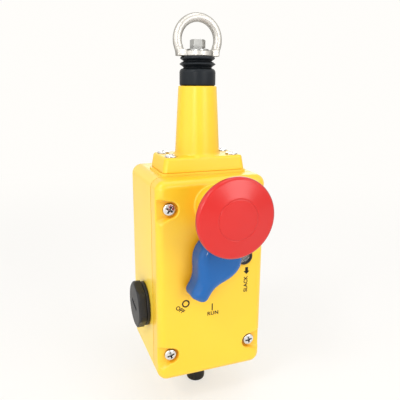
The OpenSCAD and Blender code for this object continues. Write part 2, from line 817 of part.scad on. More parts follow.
// Lever that the button's stem pushes in; it turns on the trip pin
module trip_lever() {
    color("#b7bbbf") difference() {
        union() {
            rod_x(knuckle_r, -5, 5, trip_y, trip_z);
            box(-5, 5, pad_y, trip_y, trip_z - 1.5, trip_z + 1.5);
            box(-5, 5, pad_y, pad_y + lever_t, trip_z - 1.5, trip_z + 4);
            box(-8, 8, pad_y, pad_y + lever_t, trip_z + 3.5, button_z + 8);
        }
        rod_x(trip_pin_r + run_fit, -6, 6, trip_y, trip_z);
    }
}

module trip_pin() {
    color(steel) rod_x(trip_pin_r - seat_fit, -13, 13, trip_y, trip_z);
}

module trip_spring() {
    color(steel) for (x = [-8.8, 5.2])
        translate([x, trip_y, trip_z]) rotate([0, 90, 0]) coil(2.15, 0.4, 3.6, 3, 14, 6);
}

// Bar that the crank pin moves sideways when the knob turns
module reset_slide() {
    half_slot = stud_r + free_gap;
    pin_slot = crank_pin_r + free_gap;
    color("#c8b98a") difference() {
        box(-17, 22, slide_back - slide_t, slide_back, slide_z0, slide_z1);
        for (x = [-stud_x, stud_x])
            box(x - half_slot, x + half_slot + crank_stroke, slide_back - slide_t - 1,
                slide_back + 1, slide_mid - half_slot, slide_mid + half_slot);
        box(crank_x - pin_slot, crank_x + pin_slot, slide_back - slide_t - 1, slide_back + 1,
            slide_z0 - 1, knob_z + crank_r + pin_slot);
    }
}

module slide_studs() {
    head_y = slide_back - slide_t - free_gap;
    color(steel) for (x = [-stud_x, stud_x]) {
        rod_y(stud_r - seat_fit, head_y, guide_front, x, slide_mid);
        rod_y(3, head_y - 1, head_y, x, slide_mid);
    }
}

// ---- contacts ----

// Hollow block for one pair of contacts, on the right-hand side
module contact_block() {
    color("#2c6e63") difference() {
        box(contact_x0, contact_x1, contact_front, chassis_y, contact_z0, contact_z1);
        box(cell_x0, cell_x1, contact_front - 1, shaft_y + cell_half, cell_z0, cell_z1);
        // Terminal pockets above and below the cell, each joined to it by a groove
        for (z = [contact_z0 + 2, contact_z1 - 12])
            box(contact_x0 + 2.5, contact_x1 - 2.5, contact_front - 1, terminal_y, z, z + 10);
        box(cell_x0, cell_x0 + 8, contact_front - 1, terminal_y, contact_z0 + 8, contact_z1 - 8);
        rod_x(plunger_r + run_fit, contact_x0 - 1, contact_x1 + 1, shaft_y, cam_z);
        for (z = terminal_rows)
            rod_y(1.5, terminal_y - 1, terminal_y + 7, contact_screw_x, z);
        for (z = contact_screws_z) rod_y(2, chassis_y - 9, chassis_y + 1, contact_screw_x, z);
    }
}

terminal_rows = [contact_z0 + 7, contact_z1 - 7];

module contact_block_right() {
    contact_block();
}

module contact_block_left() {
    mirror([1, 0, 0]) contact_block();
}

module contact_lids() {
    color([0.9, 0.9, 0.85, 0.5]) for (sx = [0, 1]) mirror([sx, 0, 0])
        box(cell_x0 - 1.5, cell_x1 + 1.5, contact_front - lid_t, contact_front,
            cell_z0 - 1.5, cell_z1 + 1.5);
}

// Brass strip from a terminal to its fixed contact; up is 1 or -1
module contact_strip(face_x, up) {
    tab_z = cam_z + up * 7.5;
    far = up > 0 ? contact_z1 - 3 : contact_z0 + 3;
    near = up > 0 ? contact_z1 - 11 : contact_z0 + 11;
    difference() {
        union() {
            box(contact_x0 + 3.5, contact_x1 - 3.5, terminal_y - strip_t, terminal_y,
                min(far, near), max(far, near));
            box(face_x - strip_t, face_x + 2.5, terminal_y - strip_t, terminal_y,
                min(tab_z, near), max(tab_z, near));
            box(face_x - strip_t, face_x, terminal_y - strip_t, shaft_y + 2, tab_z - 2, tab_z + 2);
            rod_x(tip_r, face_x - 0.5, face_x + 0.6, shaft_y, tab_z);
        }
        rod_y(1.7, terminal_y - 2, terminal_y + 1, contact_screw_x, up > 0 ? terminal_rows[1] : terminal_rows[0]);
    }
}

// The slack contacts stand open when the rope is slack; the pull contacts are closed then
slack_face_x = bridge_x - bridge_t / 2 - tip_h - plunger_stroke - free_gap - 0.6;
pull_face_x = bridge_x - bridge_t / 2 - tip_h - free_gap - 0.6;

module contact_strips() {
    color(brass) for (up = [-1, 1]) {
        contact_strip(pull_face_x, up);
        mirror([1, 0, 0]) contact_strip(slack_face_x, up);
    }
}

module terminal_screws() {
    color(zinc) for (sx = [-1, 1], z = terminal_rows)
        forward(terminal_y - strip_t, sx * contact_screw_x, z)
            pan_screw(1.5 - seat_fit, 6.5, 3, 2);
}

// Plunger on the right-hand side; ball_x is the middle of its round nose
module plunger(ball_x, end_x) {
    collar_x = bridge_x + bridge_t / 2;
    color("#e8e8ea") {
        translate([ball_x, shaft_y, cam_z]) sphere(plunger_r);
        rod_x(plunger_r, ball_x, end_x, shaft_y, cam_z);
        rod_x(plunger_r + 1.2, collar_x, collar_x + 1.5, shaft_y, cam_z);
    }
}

module bridge() {
    x0 = bridge_x - bridge_t / 2;
    color(brass) difference() {
        union() {
            box(x0, x0 + bridge_t, shaft_y - 3, shaft_y + 3, cam_z - bridge_len / 2,
                cam_z + bridge_len / 2);
            for (up = [-1, 1]) rod_x(tip_r, x0 - tip_h, x0 + 0.5, shaft_y, cam_z + up * 7.5);
        }
        rod_x(plunger_r + seat_fit, x0 - 2, x0 + 3, shaft_y, cam_z);
    }
}

module pull_plunger() {
    plunger(cam_right + plunger_ball_gap, cell_x1 + 0.4);
}

module slack_plunger() {
    mirror([1, 0, 0]) plunger(cam_left + plunger_ball_gap, contact_x1 - 0.1);
}

module pull_bridge() {
    bridge();
}

module slack_bridge() {
    mirror([1, 0, 0]) bridge();
}

module earth_screw() {
    color(brass) forward(-wall - 6, 0, earth_z) {
        ring(4.6, 2, 1);
        translate([0, 0, 1]) pan_screw(2 - seat_fit, 6.5, 4, 2.6);
    }
}

// ---- indicator ----

module indicator_flag() {
    flag_y = roof_y + 1.5;
    arm_y0 = latch_front - 5;
    color("#8b8f92") {
        box(-arm_half, arm_half, arm_y0, cam_front, arm_z, arm_z + arm_h);
        box(-arm_half, window_x - 4, arm_y0, arm_y0 + plate_t, arm_z, arm_z + arm_h);
        box(window_x - 6, window_x - 4, flag_y, arm_y0 + plate_t, arm_z, arm_z + arm_h);
        box(window_x - 6, window_x + 6, flag_y, flag_y + 1, window_z - 6 - pull_travel,
            window_z + 7);
    }
}

module window_lens() {
    color([0.8, 0.85, 0.85, 0.4]) rod_y(window_r - 1.5 - seat_fit, face_y + 0.8, face_y + 3.6, window_x, window_z);
}

module window_ring() {
    color(black) forward(face_y + 2, window_x, window_z)
        ring(window_r, window_r - 1.5, 2.4);
}

// ---- emergency button ----

module estop_cap() {
    rim = button_reach;
    front = button_reach + button_rim;
    // Heights are measured out from the face of the cover
    color("#d8322b") forward(face_y, 0, button_z) difference() {
        rotate_extrude() union() {
            polygon([[0, hub_reach], [hub_r, hub_reach], [hub_r + 0.6, rim - 5.5],
                [button_r - 7, rim - 1.2], [button_r - 0.8, rim], [button_r, rim + 1],
                [button_r, front - 1.5], [button_r - 1.5, front], [button_r - 5, front + 0.9],
                [button_r * 0.55, front + button_dome * 0.75],
                [button_r * 0.25, front + button_dome * 0.96], [0, front + button_dome]]);
        }
        translate([0, 0, hub_reach - 1]) cylinder(r = stem_r + seat_fit, h = 15);
    }
}

module estop_stem() {
    groove_y = stem_clip_y - 0.05;
    top_y = face_y - hub_reach - 13.5;
    color(steel) {
        difference() {
            rod_y(stem_r, top_y, stem_back, 0, button_z);
            translate([0, groove_y + clip_t + 0.1, button_z]) rotate([90, 0, 0])
                ring(stem_r + 1, stem_r - 0.8, clip_t + 0.1);
        }
        rod_y(nose_r, stem_back - 0.5, nose_y - nose_r, 0, button_z);
        translate([0, nose_y - nose_r, button_z]) sphere(nose_r);
    }
}

module estop_collar() {
    foot = boss_h;
    color(black) forward(face_y, 0, button_z) difference() {
        union() {
            translate([0, 0, foot]) cylinder(r1 = collar_r, r2 = collar_r - 0.8, h = 3.5);
            translate([0, 0, foot + 1]) cylinder(r = tube_r, h = collar_neck_reach - foot - 1);
            translate([0, 0, face_y - tube_back]) cylinder(r = tube_r, h = tube_back - face_y + foot + 1);
        }
        translate([0, 0, face_y - tube_back - 1])
            cylinder(r = stem_r + run_fit, h = tube_back - face_y + collar_neck_reach + 2);
        translate([0, 0, foot + 3]) cylinder(r = button_recess_r, h = collar_neck_reach);
    }
}

module estop_nut() {
    color(black) forward(roof_y + 4, 0, button_z) difference() {
        cylinder(r = tube_r + 4, h = 4);
        translate([0, 0, -1]) cylinder(r = tube_r + seat_fit, h = 6);
    }
}

module estop_seal() {
    color("#3a3c3f") forward(face_y - boss_h - 3, 0, button_z)
        ring(button_recess_r - seat_fit, stem_r + run_fit, 3);
}

module estop_spring() {
    foot = boss_h + 6;
    color(steel) forward(face_y - foot, 0, button_z)
        coil((button_recess_r + stem_r) / 2, 0.7, hub_reach - foot, 4);
}

module estop_clip() {
    color(steel) forward(stem_clip_y + clip_t, 0, button_z)
        snap_ring(stem_r + 2, stem_r - 0.8 + seat_fit, clip_t);
}

// ---- reset knob ----

// Round body with a handle that points to -Y of its drawing
module knob_body() {
    d = knob_r + grip_fillet;
    side = knob_grip + grip_fillet;
    drop = sqrt(d * d - side * side);
    end_y = grip_corner - knob_reach;
    difference() {
        union() {
            cylinder(r = knob_r, h = knob_t);
            translate([-knob_grip, end_y, 0]) cube([2 * knob_grip, -end_y, knob_t]);
            translate([grip_corner - knob_grip, -knob_reach, 0])
                cube([2 * (knob_grip - grip_corner), knob_reach, knob_t]);
            for (sx = [-1, 1]) translate([sx * (knob_grip - grip_corner), end_y, 0])
                cylinder(r = grip_corner, h = knob_t);
            // Web that the two side curves are cut from
            linear_extrude(knob_t)
                polygon([[side * knob_r / d, -drop * knob_r / d], [knob_grip, -drop],
                    [-knob_grip, -drop], [-side * knob_r / d, -drop * knob_r / d]]);
        }
        for (sx = [-1, 1]) translate([sx * side, -drop, -1])
            cylinder(r = grip_fillet + 0.04, h = knob_t + 2);
    }
}

module reset_knob() {
    color("#1f5fae") difference() {
        forward(knob_back, 0, knob_z) rotate(-knob_turn) knob_body();
        rod_y(knob_shaft_r + seat_fit, knob_back - 11, knob_back + 1, 0, knob_z);
        rod_y(2, knob_back - 14, knob_back, 0, knob_z);
    }
}

module knob_shaft() {
    color(steel) difference() {
        union() {
            rod_y(knob_shaft_r, knob_back - 10.5, crank_disc_y, 0, knob_z);
            rod_y(crank_disc_r, crank_disc_y, crank_disc_y + crank_disc_t, 0, knob_z);
            rod_y(crank_pin_r, crank_disc_y, slide_back - 0.4, crank_x, crank_z);
        }
        rod_y(2.1, knob_back - 12, crank_disc_y + crank_disc_t + 1, 0, knob_z);
    }
}

module knob_bush() {
    color(brass) forward(face_y, 0, knob_z) difference() {
        union() {
            translate([0, 0, knob_boss_h]) cylinder(r = knob_bush_r + 2, h = 1);
            translate([0, 0, -wall - 3]) cylinder(r = knob_bush_r, h = wall + knob_boss_h + 3.5);
        }
        translate([0, 0, -wall - 4])
            cylinder(r = knob_shaft_r + run_fit, h = wall + knob_boss_h + 6);
    }
}

module knob_screw() {
    under = crank_disc_y + crank_disc_t;
    color(zinc) translate([0, under, knob_z]) rotate([-90, 0, 0])
        pan_screw(2 - seat_fit, under - knob_back + 13, 3.6, 2);
}

// ---- conduit entries ----

// Blanking plug on the left-hand side
module side_plug() {
    x0 = half_w + plug_seal_t;
    x1 = x0 + plug_flange_t;
    x2 = x1 + plug_hex_t;
    color(black) mirror([1, 0, 0]) translate([0, entry_y, entry_z]) difference() {
        union() {
            rod_x(entry_r - seat_fit, half_w - wall - 6, x0 + 0.5);
            rod_x(plug_af / 2, x0, x1);
            intersection() {
                translate([x1 - 0.5, 0, 0]) rotate([0, 90, 0])
                    hexagon_prism(plug_af, plug_hex_t + 0.5);
                translate([x1 - 1, 0, 0]) rotate([0, 90, 0])
                    cylinder(r1 = plug_af * 0.68, r2 = plug_af * 0.5, h = plug_hex_t + 1);
            }
        }
        rod_x(entry_r - 2.5, half_w - wall - 7, x0);
        box(x2 - 2, x2 + 1, -plug_af / 2 - 4, plug_af / 2 + 4, -1.3, 1.3);
    }
}

module side_plugs() {
    side_plug();
    mirror([1, 0, 0]) side_plug();
}

// Flat seals under the two side plugs and under the socket
module entry_seals() {
    color("#3a3c3f") {
        for (sx = [0, 1]) mirror([sx, 0, 0])
            translate([half_w, entry_y, entry_z]) rotate([0, 90, 0])
                ring(plug_af / 2 - 1, entry_r + free_gap, plug_seal_t);
        translate([0, socket_y, -half_h - socket_seal_t])
            ring(socket_af / 2 - 0.2, socket_r + 0.2, socket_seal_t);
    }
}

// Round plug-and-socket connector in the bottom entry
module connector() {
    hex_top = -half_h - socket_seal_t;
    hex_z = hex_top - socket_hex_t;
    nose_z = hex_z - 13;
    color(black) translate([0, socket_y, 0]) difference() {
        union() {
            rod_z(socket_r - seat_fit, hex_top - 0.5, -half_h + wall + 5);
            translate([0, 0, hex_z]) hexagon_prism(socket_af, socket_hex_t);
            rod_z(socket_nose_r, nose_z, hex_z + 1);
        }
        rod_z(socket_nose_r - 1.3, nose_z - 1, nose_z + 8);
        rod_z(socket_r - 2.2, hex_top, -half_h + wall + 6);
    }
}

module connector_pins() {
    hex_z = -half_h - socket_seal_t - socket_hex_t;
    color("#d9b35a") translate([0, socket_y, 0]) for (a = [45:90:315])
        rotate(a) rod_z(0.5, hex_z - 12, hex_z - 5, 2.4, 0);
}

module dust_cap() {
    end_z = -half_h - socket_drop;
    top_z = -half_h - socket_seal_t - socket_hex_t - free_gap;
    nose_z = -half_h - socket_seal_t - socket_hex_t - 13;
    color(black) translate([0, socket_y, 0]) difference() {
        translate([0, 0, end_z]) rotate_extrude()
            polygon([[0, 0], [dust_cap_r - 1.5, 0], [dust_cap_r - 0.45, 0.45], [dust_cap_r, 1.5],
                [dust_cap_r, top_z - end_z], [0, top_z - end_z]]);
        rod_z(socket_nose_r + seat_fit, nose_z - free_gap, top_z + 1);
    }
}

housing();
cover();
cover_gasket();
cover_screws();
head();
head_gasket();
head_screws();
boot();
eye_ring();
eye_bolt();
pull_shaft();
top_bush();
shaft_seal();
lower_bush();
main_spring();
spring_seat();
spring_collar();
collar_clip();
cam_slider();
slider_pin();
chassis_plate();
chassis_screws();
guide_block();
block_screws();
latch_plate();
latch_plate_screws();
trip_lever();
trip_pin();
trip_spring();
reset_slide();
slide_studs();
contact_block_left();
contact_block_right();
contact_lids();
contact_strips();
terminal_screws();
slack_plunger();
pull_plunger();
slack_bridge();
pull_bridge();
earth_screw();
indicator_flag();
window_lens();
window_ring();
estop_cap();
estop_stem();
estop_collar();
estop_nut();
estop_seal();
estop_spring();
estop_clip();
reset_knob();
knob_shaft();
knob_bush();
knob_screw();
side_plugs();
entry_seals();
connector();
dust_cap();
connector_pins();
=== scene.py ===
# %% [markdown]
# A rope pull safety switch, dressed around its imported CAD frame.
# The frame holds every solid part at its real place and size. This script gives the visible
# parts their finish, and builds finer meshes for the castings, mouldings and rubber that the
# plain solids only stand for. Everything is in metres, in the frame's own coordinates:
# +X right, +Y to the wall, +Z up.

# %% Load the frame
import json
import math

import bmesh
import bpy
import numpy as np
from mathutils import Matrix, Vector


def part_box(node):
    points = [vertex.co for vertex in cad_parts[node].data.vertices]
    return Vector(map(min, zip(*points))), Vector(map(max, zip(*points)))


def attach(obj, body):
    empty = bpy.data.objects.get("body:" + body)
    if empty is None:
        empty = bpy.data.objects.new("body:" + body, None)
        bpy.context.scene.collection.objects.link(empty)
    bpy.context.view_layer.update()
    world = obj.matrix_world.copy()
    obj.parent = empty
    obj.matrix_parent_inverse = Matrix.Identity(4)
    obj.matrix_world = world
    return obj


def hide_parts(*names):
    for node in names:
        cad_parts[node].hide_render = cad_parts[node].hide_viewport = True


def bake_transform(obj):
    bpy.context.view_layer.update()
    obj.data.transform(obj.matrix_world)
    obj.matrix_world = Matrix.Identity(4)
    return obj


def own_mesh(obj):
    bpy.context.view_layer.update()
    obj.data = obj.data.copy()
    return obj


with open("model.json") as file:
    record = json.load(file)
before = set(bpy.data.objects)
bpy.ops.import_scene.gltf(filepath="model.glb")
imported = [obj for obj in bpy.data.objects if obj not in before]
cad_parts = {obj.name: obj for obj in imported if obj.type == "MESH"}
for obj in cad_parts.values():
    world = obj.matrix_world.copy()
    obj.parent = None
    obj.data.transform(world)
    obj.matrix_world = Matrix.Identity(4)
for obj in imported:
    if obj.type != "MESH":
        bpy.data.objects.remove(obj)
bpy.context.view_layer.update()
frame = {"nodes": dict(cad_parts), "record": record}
MM = 0.001

# %% [markdown]
# The camera comes first, because it decides how much of each surface shows. It looks down a
# little from the front left, with a lens of about 42 mm on a full frame sensor. Its shift is
# small: it moves the picture by about a hundredth of its width.

# %% Camera
YAW, PITCH, ROLL = math.radians(20.83), math.radians(13.79), math.radians(0.46)
CAMERA_AT = Vector((-0.1269, -0.3902, 0.1504))
camera_data = bpy.data.cameras.new("camera")
camera_data.lens, camera_data.sensor_width = 41.82, 36
camera_data.shift_x, camera_data.shift_y = -0.0065, -0.0125
camera = bpy.data.objects.new("camera", camera_data)
bpy.context.scene.collection.objects.link(camera)
bpy.context.scene.camera = camera
forward = Vector((math.sin(YAW) * math.cos(PITCH), math.cos(YAW) * math.cos(PITCH),
                  -math.sin(PITCH)))
right = Vector((math.cos(YAW), -math.sin(YAW), 0))
above = right.cross(forward)
rolled_right = right * math.cos(ROLL) + above * math.sin(ROLL)
rolled_above = above * math.cos(ROLL) - right * math.sin(ROLL)
facing = Matrix((rolled_right, rolled_above, -forward)).transposed()
camera.matrix_world = Matrix.Translation(CAMERA_AT) @ facing.to_4x4()
print("camera looks along", tuple(round(v, 3) for v in forward))

# %% [markdown]
# Moulded and cast parts have no sharp edges: every corner is a small radius, and shapes melt
# into each other. Bevels are hard to keep clean on such blends, so the main pieces are made as
# distance fields. A field says how far a point is from the surface, negative inside. Two
# fields join or cut each other with a soft edge by a smooth minimum or maximum.

# %% Soft joining of shapes
def join(a, b, soft=0.0):
    """Both shapes together, with a fillet of about soft where they meet."""
    if not np.any(soft):
        return np.minimum(a, b)
    h = np.clip(0.5 + 0.5 * (b - a) / soft, 0, 1)
    return b * (1 - h) + a * h - soft * h * (1 - h)


def overlap(a, b, soft=0.0):
    """What is inside both shapes, with its edge rounded by about soft."""
    return -join(-a, -b, soft)


def cut(a, b, soft=0.0):
    """The first shape without the second."""
    return overlap(a, -b, soft)


def slab(u, v, half_u, half_v, corner):
    """Distance to a rectangle with rounded corners, in two directions."""
    du, dv = np.abs(u) - half_u + corner, np.abs(v) - half_v + corner
    outside = np.hypot(np.maximum(du, 0), np.maximum(dv, 0))
    return outside + np.minimum(np.maximum(du, dv), 0) - corner


def rounded_end(side, end, radius):
    """A side wall and an end face, with an edge of that radius between them."""
    s, e = side + radius, end + radius
    return np.hypot(np.maximum(s, 0), np.maximum(e, 0)) + np.minimum(np.maximum(s, e), 0) - radius


print("soft joining ready")

# %% [markdown]
# A field becomes a mesh by surface nets: a grid is laid over the space, each cell that the
# surface crosses gets one vertex, and each crossed grid edge gets one four-sided face. The
# vertices are then moved exactly onto the surface, and their normals are taken from the field,
# so flat faces stay flat and highlights run smoothly round the edges.

# %% From a field to a mesh
SETTLE_ROUNDS = 4
LONGEST_MOVE = 0.6  # of a grid step


def new_object(name, mesh, material, body):
    """Links a mesh as a piece that rides on a body."""
    made = bpy.data.objects.new(name, mesh)
    bpy.context.scene.collection.objects.link(made)
    mesh.materials.clear()
    mesh.materials.append(material)
    if body:
        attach(made, body)
    return made


def slope(field, points, reach=0.04):
    """Direction in which a field grows, at each point."""
    g = np.empty_like(points)
    for axis in range(3):
        shift = np.zeros(3)
        shift[axis] = reach
        g[:, axis] = field(points + shift) - field(points - shift)
    return g / np.maximum(np.linalg.norm(g, axis=1, keepdims=True), 1e-9)


def net_of(field, low, high, step):
    """Vertices, normals and quads of a field's surface, in millimetres."""
    axes = [np.arange(low[i] - 2 * step, high[i] + 2.5 * step, step) for i in range(3)]
    grid = np.stack(np.meshgrid(*axes, indexing="ij"), -1)
    d = field(grid.reshape(-1, 3)).reshape(grid.shape[:3])
    inside = d < 0
    cells = np.array(d.shape) - 1
    total, count = np.zeros((cells.prod(), 3)), np.zeros(cells.prod())
    faces = []
    for axis in range(3):
        u, v = (axis + 1) % 3, (axis + 2) % 3
        first, second = [slice(None)] * 3, [slice(None)] * 3
        first[axis], second[axis] = slice(0, -1), slice(1, None)
        a, b = d[tuple(first)], d[tuple(second)]
        at = np.argwhere(inside[tuple(first)] != inside[tuple(second)])
        da, db = a[tuple(at.T)], b[tuple(at.T)]
        point = grid[tuple(at.T)].copy()
        point[:, axis] += step * da / (da - db)
        ring = []
        for du, dv in ((-1, -1), (0, -1), (0, 0), (-1, 0)):
            cell = at.copy()
            cell[:, u] += du
            cell[:, v] += dv
            flat = np.ravel_multi_index(tuple(cell.T), tuple(cells))
            np.add.at(total, flat, point)
            np.add.at(count, flat, 1)
            ring.append(flat)
        quad = np.stack(ring, 1)
        flip = ~inside[tuple(first)][tuple(at.T)]
        quad[flip] = quad[flip][:, ::-1]
        faces.append(quad)
    used = np.flatnonzero(count)
    place = np.full(len(count), -1)
    place[used] = np.arange(len(used))
    points = total[used] / count[used][:, None]
    for _ in range(SETTLE_ROUNDS):
        move = field(points)[:, None] * slope(field, points)
        points = points - np.clip(move, -LONGEST_MOVE * step, LONGEST_MOVE * step)
    return points, slope(field, points), place[np.concatenate(faces)]


def net_piece(name, points, normals, quads, material, body):
    """A smooth piece from a net in millimetres, with the net's own normals."""
    mesh = bpy.data.meshes.new(name)
    mesh.from_pydata((points * MM).tolist(), [], quads.tolist())
    mesh.polygons.foreach_set("use_smooth", [True] * len(mesh.polygons))
    mesh.normals_split_custom_set_from_vertices(normals.tolist())
    print(name, len(points), "points")
    return new_object(name, mesh, material, body)


def soft_shape(name, field, low, high, step, material, body):
    """A piece from a field. low, high and step are in millimetres."""
    return net_piece(name, *net_of(field, low, high, step), material, body)


# %% [markdown]
# Many parts here are turned: the button, the boot, the dust cap, the rings. Their outline is a
# list of radius and height, and the mesh is that outline carried round an axis. Corners in the
# outline are rounded by a few points each, so that they catch the light.

# %% Turned parts
def eased(outline, radius, steps=4):
    """An outline with each inner corner replaced by a short arc."""
    out = [outline[0]]
    for before, at, after in zip(outline, outline[1:], outline[2:]):
        p, a, b = Vector(at), Vector(before), Vector(after)
        reach = min(radius, (a - p).length * 0.45, (b - p).length * 0.45)
        start, end = p + (a - p).normalized() * reach, p + (b - p).normalized() * reach
        for i in range(steps + 1):
            t = i / steps
            q = start * (1 - t) ** 2 + p * 2 * t * (1 - t) + end * t ** 2
            out.append((q.x, q.y))
    out.append(outline[-1])
    return out


def mesh_from(bm, name):
    """Turns the faces outwards and makes a real mesh."""
    bmesh.ops.recalc_face_normals(bm, faces=bm.faces)
    mesh = bpy.data.meshes.new(name)
    bm.to_mesh(mesh)
    bm.free()
    return mesh


def turned(name, outline, origin, direction, material, body, around=96):
    """A closed turned piece. The outline runs from one end of the axis to the other, in mm."""
    axis = Vector(direction).normalized()
    side = axis.orthogonal().normalized()
    other = axis.cross(side)
    bm = bmesh.new()
    rings = []
    for r, h in outline:
        middle = Vector(origin) + axis * h * MM
        if r < 1e-6:
            rings.append([bm.verts.new(middle)])
            continue
        rings.append([bm.verts.new(middle + (side * math.cos(a) + other * math.sin(a)) * r * MM)
                      for a in (2 * math.pi * i / around for i in range(around))])
    for low_ring, high_ring in zip(rings, rings[1:]):
        for i in range(around):
            j = (i + 1) % around
            corners = [low_ring[i % len(low_ring)], low_ring[j % len(low_ring)],
                       high_ring[j % len(high_ring)], high_ring[i % len(high_ring)]]
            unique = list(dict.fromkeys(corners))
            if len(unique) > 2:
                bm.faces.new(unique)
    if len(rings[0]) > 1 and len(rings[-1]) > 1 and outline[0] != outline[-1]:
        for i in range(around):
            j = (i + 1) % around
            bm.faces.new([rings[-1][i], rings[-1][j], rings[0][j], rings[0][i]])
    mesh = mesh_from(bm, name)
    mesh.shade_smooth()
    print(name, len(mesh.vertices), "points")
    return new_object(name, mesh, material, body)


# %% [markdown]
# Materials, the world and the shading of the solids are all node trees. Two helpers keep them
# short: one adds a node and fills its inputs with values or links, and one mixes two colours.

# %% Nodes in short
def add_node(tree, kind, *ordered, settings=None, **named):
    """A new node. Values and links go to its inputs by order or by name."""
    made = tree.nodes.new(kind)
    for key, value in (settings or {}).items():
        setattr(made, key, value)
    for key, value in [*enumerate(ordered), *named.items()]:
        socket = made.inputs[key.replace("_", " ") if isinstance(key, str) else key]
        if isinstance(value, bpy.types.NodeSocket):
            tree.links.new(value, socket)
        else:
            socket.default_value = value
    return made


def mixed(tree, share, colour, other):
    """A colour between two others. Each can be a link or a tone of three numbers."""
    a, b = (c if isinstance(c, bpy.types.NodeSocket) else (*c, 1) for c in (colour, other))
    return add_node(tree, "ShaderNodeMix", settings={"data_type": "RGBA"},
                    Factor=share, A=a, B=b).outputs["Result"]


print("node helpers ready")

# %% [markdown]
# Every finish is a small node tree. The colour drifts a little between two close tones, the
# roughness drifts too, and a fine bump gives the surface its grain: orange peel in powder coat,
# spark marks in moulds, brush lines in steel. Handled edges are polished a little lighter.
# Two more tones paint light and shade into the colour. Where ambient occlusion finds a hollow,
# it takes a hollow tone: painted shade, and in the yellow also painted warm bounce light. Where
# a surface turns away from the eye it takes a rim tone: painted shade and dark reflection.

# %% A finish helper
BUMP_HEIGHT = 0.0001
EDGE_FROM, EDGE_TO = 0.52, 0.62  # pointiness, 0.5 is flat
# Facing range over which the painted rim shade fades in.
RIM_FROM, RIM_TO = 0.35, 0.95


def finish(name, tone, other_tone, drift=20.0, rough=(0.3, 0.4), grain=900.0, depth=0.15,
           stretch=(1, 1, 1), edge=0.12, hollow=None, reach=0.012, rim=None, **sockets):
    """A procedural material. drift and grain are noise scales in one over metres."""
    material = bpy.data.materials.new(name)
    material.use_nodes = True
    tree = material.node_tree
    shader = tree.nodes["Principled BSDF"]
    shader.inputs["Base Color"].default_value = (*tone, 1)
    shader.inputs["Roughness"].default_value = sum(rough) / 2
    for socket, value in sockets.items():
        shader.inputs[socket.replace("_", " ")].default_value = value
    place = add_node(tree, "ShaderNodeTexCoord").outputs["Object"]
    slow = add_node(tree, "ShaderNodeTexNoise", Vector=place, Scale=drift, Detail=3)
    tones = add_node(tree, "ShaderNodeValToRGB", Fac=slow.outputs["Fac"])
    tones.color_ramp.interpolation = "EASE"
    for stop, position, shade in zip(tones.color_ramp.elements, (0.2, 0.8), (tone, other_tone)):
        stop.position, stop.color = position, (*shade, 1)
    pointed = add_node(tree, "ShaderNodeNewGeometry").outputs["Pointiness"]
    wear = add_node(tree, "ShaderNodeMapRange", Value=pointed, From_Min=EDGE_FROM,
                    From_Max=EDGE_TO, To_Max=edge)
    polished = tuple(min(1, c * 1.25 + 0.03) for c in tone)
    colour = mixed(tree, wear.outputs["Result"], tones.outputs["Color"], polished)
    # Painted shade: ambient occlusion blends the colour towards the hollow tone in hollows and
    # near other parts.
    if hollow:
        shade_mask = add_node(tree, "ShaderNodeAmbientOcclusion", settings={"samples": 6},
                       Distance=reach)
        colour = mixed(tree, shade_mask.outputs["AO"], hollow, colour)
    # Painted shade and reflection: the colour darkens towards the rim tone where the surface turns
    # away from the eye.
    if rim:
        away = add_node(tree, "ShaderNodeLayerWeight", Blend=0.5).outputs["Facing"]
        grazing_mask = add_node(tree, "ShaderNodeMapRange", Value=away, From_Min=RIM_FROM,
                        From_Max=RIM_TO)
        colour = mixed(tree, grazing_mask.outputs["Result"], colour, rim)
    spread = add_node(tree, "ShaderNodeMapRange", Value=slow.outputs["Fac"], To_Min=rough[0],
                      To_Max=rough[1])
    stretched = add_node(tree, "ShaderNodeMapping", Vector=place, Scale=stretch)
    fine = add_node(tree, "ShaderNodeTexNoise", Vector=stretched.outputs["Vector"],
                    Scale=grain, Detail=2)
    bump = add_node(tree, "ShaderNodeBump", Strength=depth, Distance=BUMP_HEIGHT,
                    Height=fine.outputs["Fac"])
    tree.links.new(colour, shader.inputs["Base Color"])
    tree.links.new(spread.outputs["Result"], shader.inputs["Roughness"])
    tree.links.new(bump.outputs["Normal"], shader.inputs["Normal"])
    return material


print("finish helper ready")

# %% [markdown]
# The castings have a glossy yellow powder coat. It is a thick, even film: nearly one colour,
# with a very fine orange peel and a clear gloss over it.

# %% Yellow powder coat
def powder_coat(name, green, blue, hollow, reach, rough, gloss):
    """One tone of the yellow; cover, housing and head get lit and shaded copies of one coat."""
    return finish(name, (0.93, green, blue), (0.95, green + 0.034, blue + 0.006), drift=9,
                  rough=rough, grain=1400, depth=0.08, hollow=hollow, reach=reach,
                  Coat_Weight=gloss, Coat_Roughness=0.24)


# Painted shade: the cover's orange hollow tone reaches 20 mm and paints shade and warm bounce
# light round the button and knob.
yellow = powder_coat("yellow_cover_coat", 0.580, 0.019, (0.98, 0.33, 0.010), 0.020,
                     (0.32, 0.40), 0.22)
# Painted light: the housing's paler tone paints its side wall washed pale by light; its short
# hollow tone paints shade at its seams.
yellow_housing = powder_coat("yellow_housing_coat", 0.630, 0.050, (0.93, 0.56, 0.030), 0.006,
                             (0.36, 0.44), 0.18)
# Painted light: the head's tone is darker than the housing's so its neck is less bright; its short
# hollow tone paints shade under the block.
yellow_head = powder_coat("yellow_head_coat", 0.590, 0.018, (0.93, 0.48, 0.012), 0.006,
                          (0.38, 0.46), 0.15)

# %% [markdown]
# The button is a satin red moulding, the knob a glossier blue one. Both are dyed through, so
# their own colour hardly changes over the surface, and only their grain differs. Painted shade
# darkens both in hollows, and the red also towards its outline.

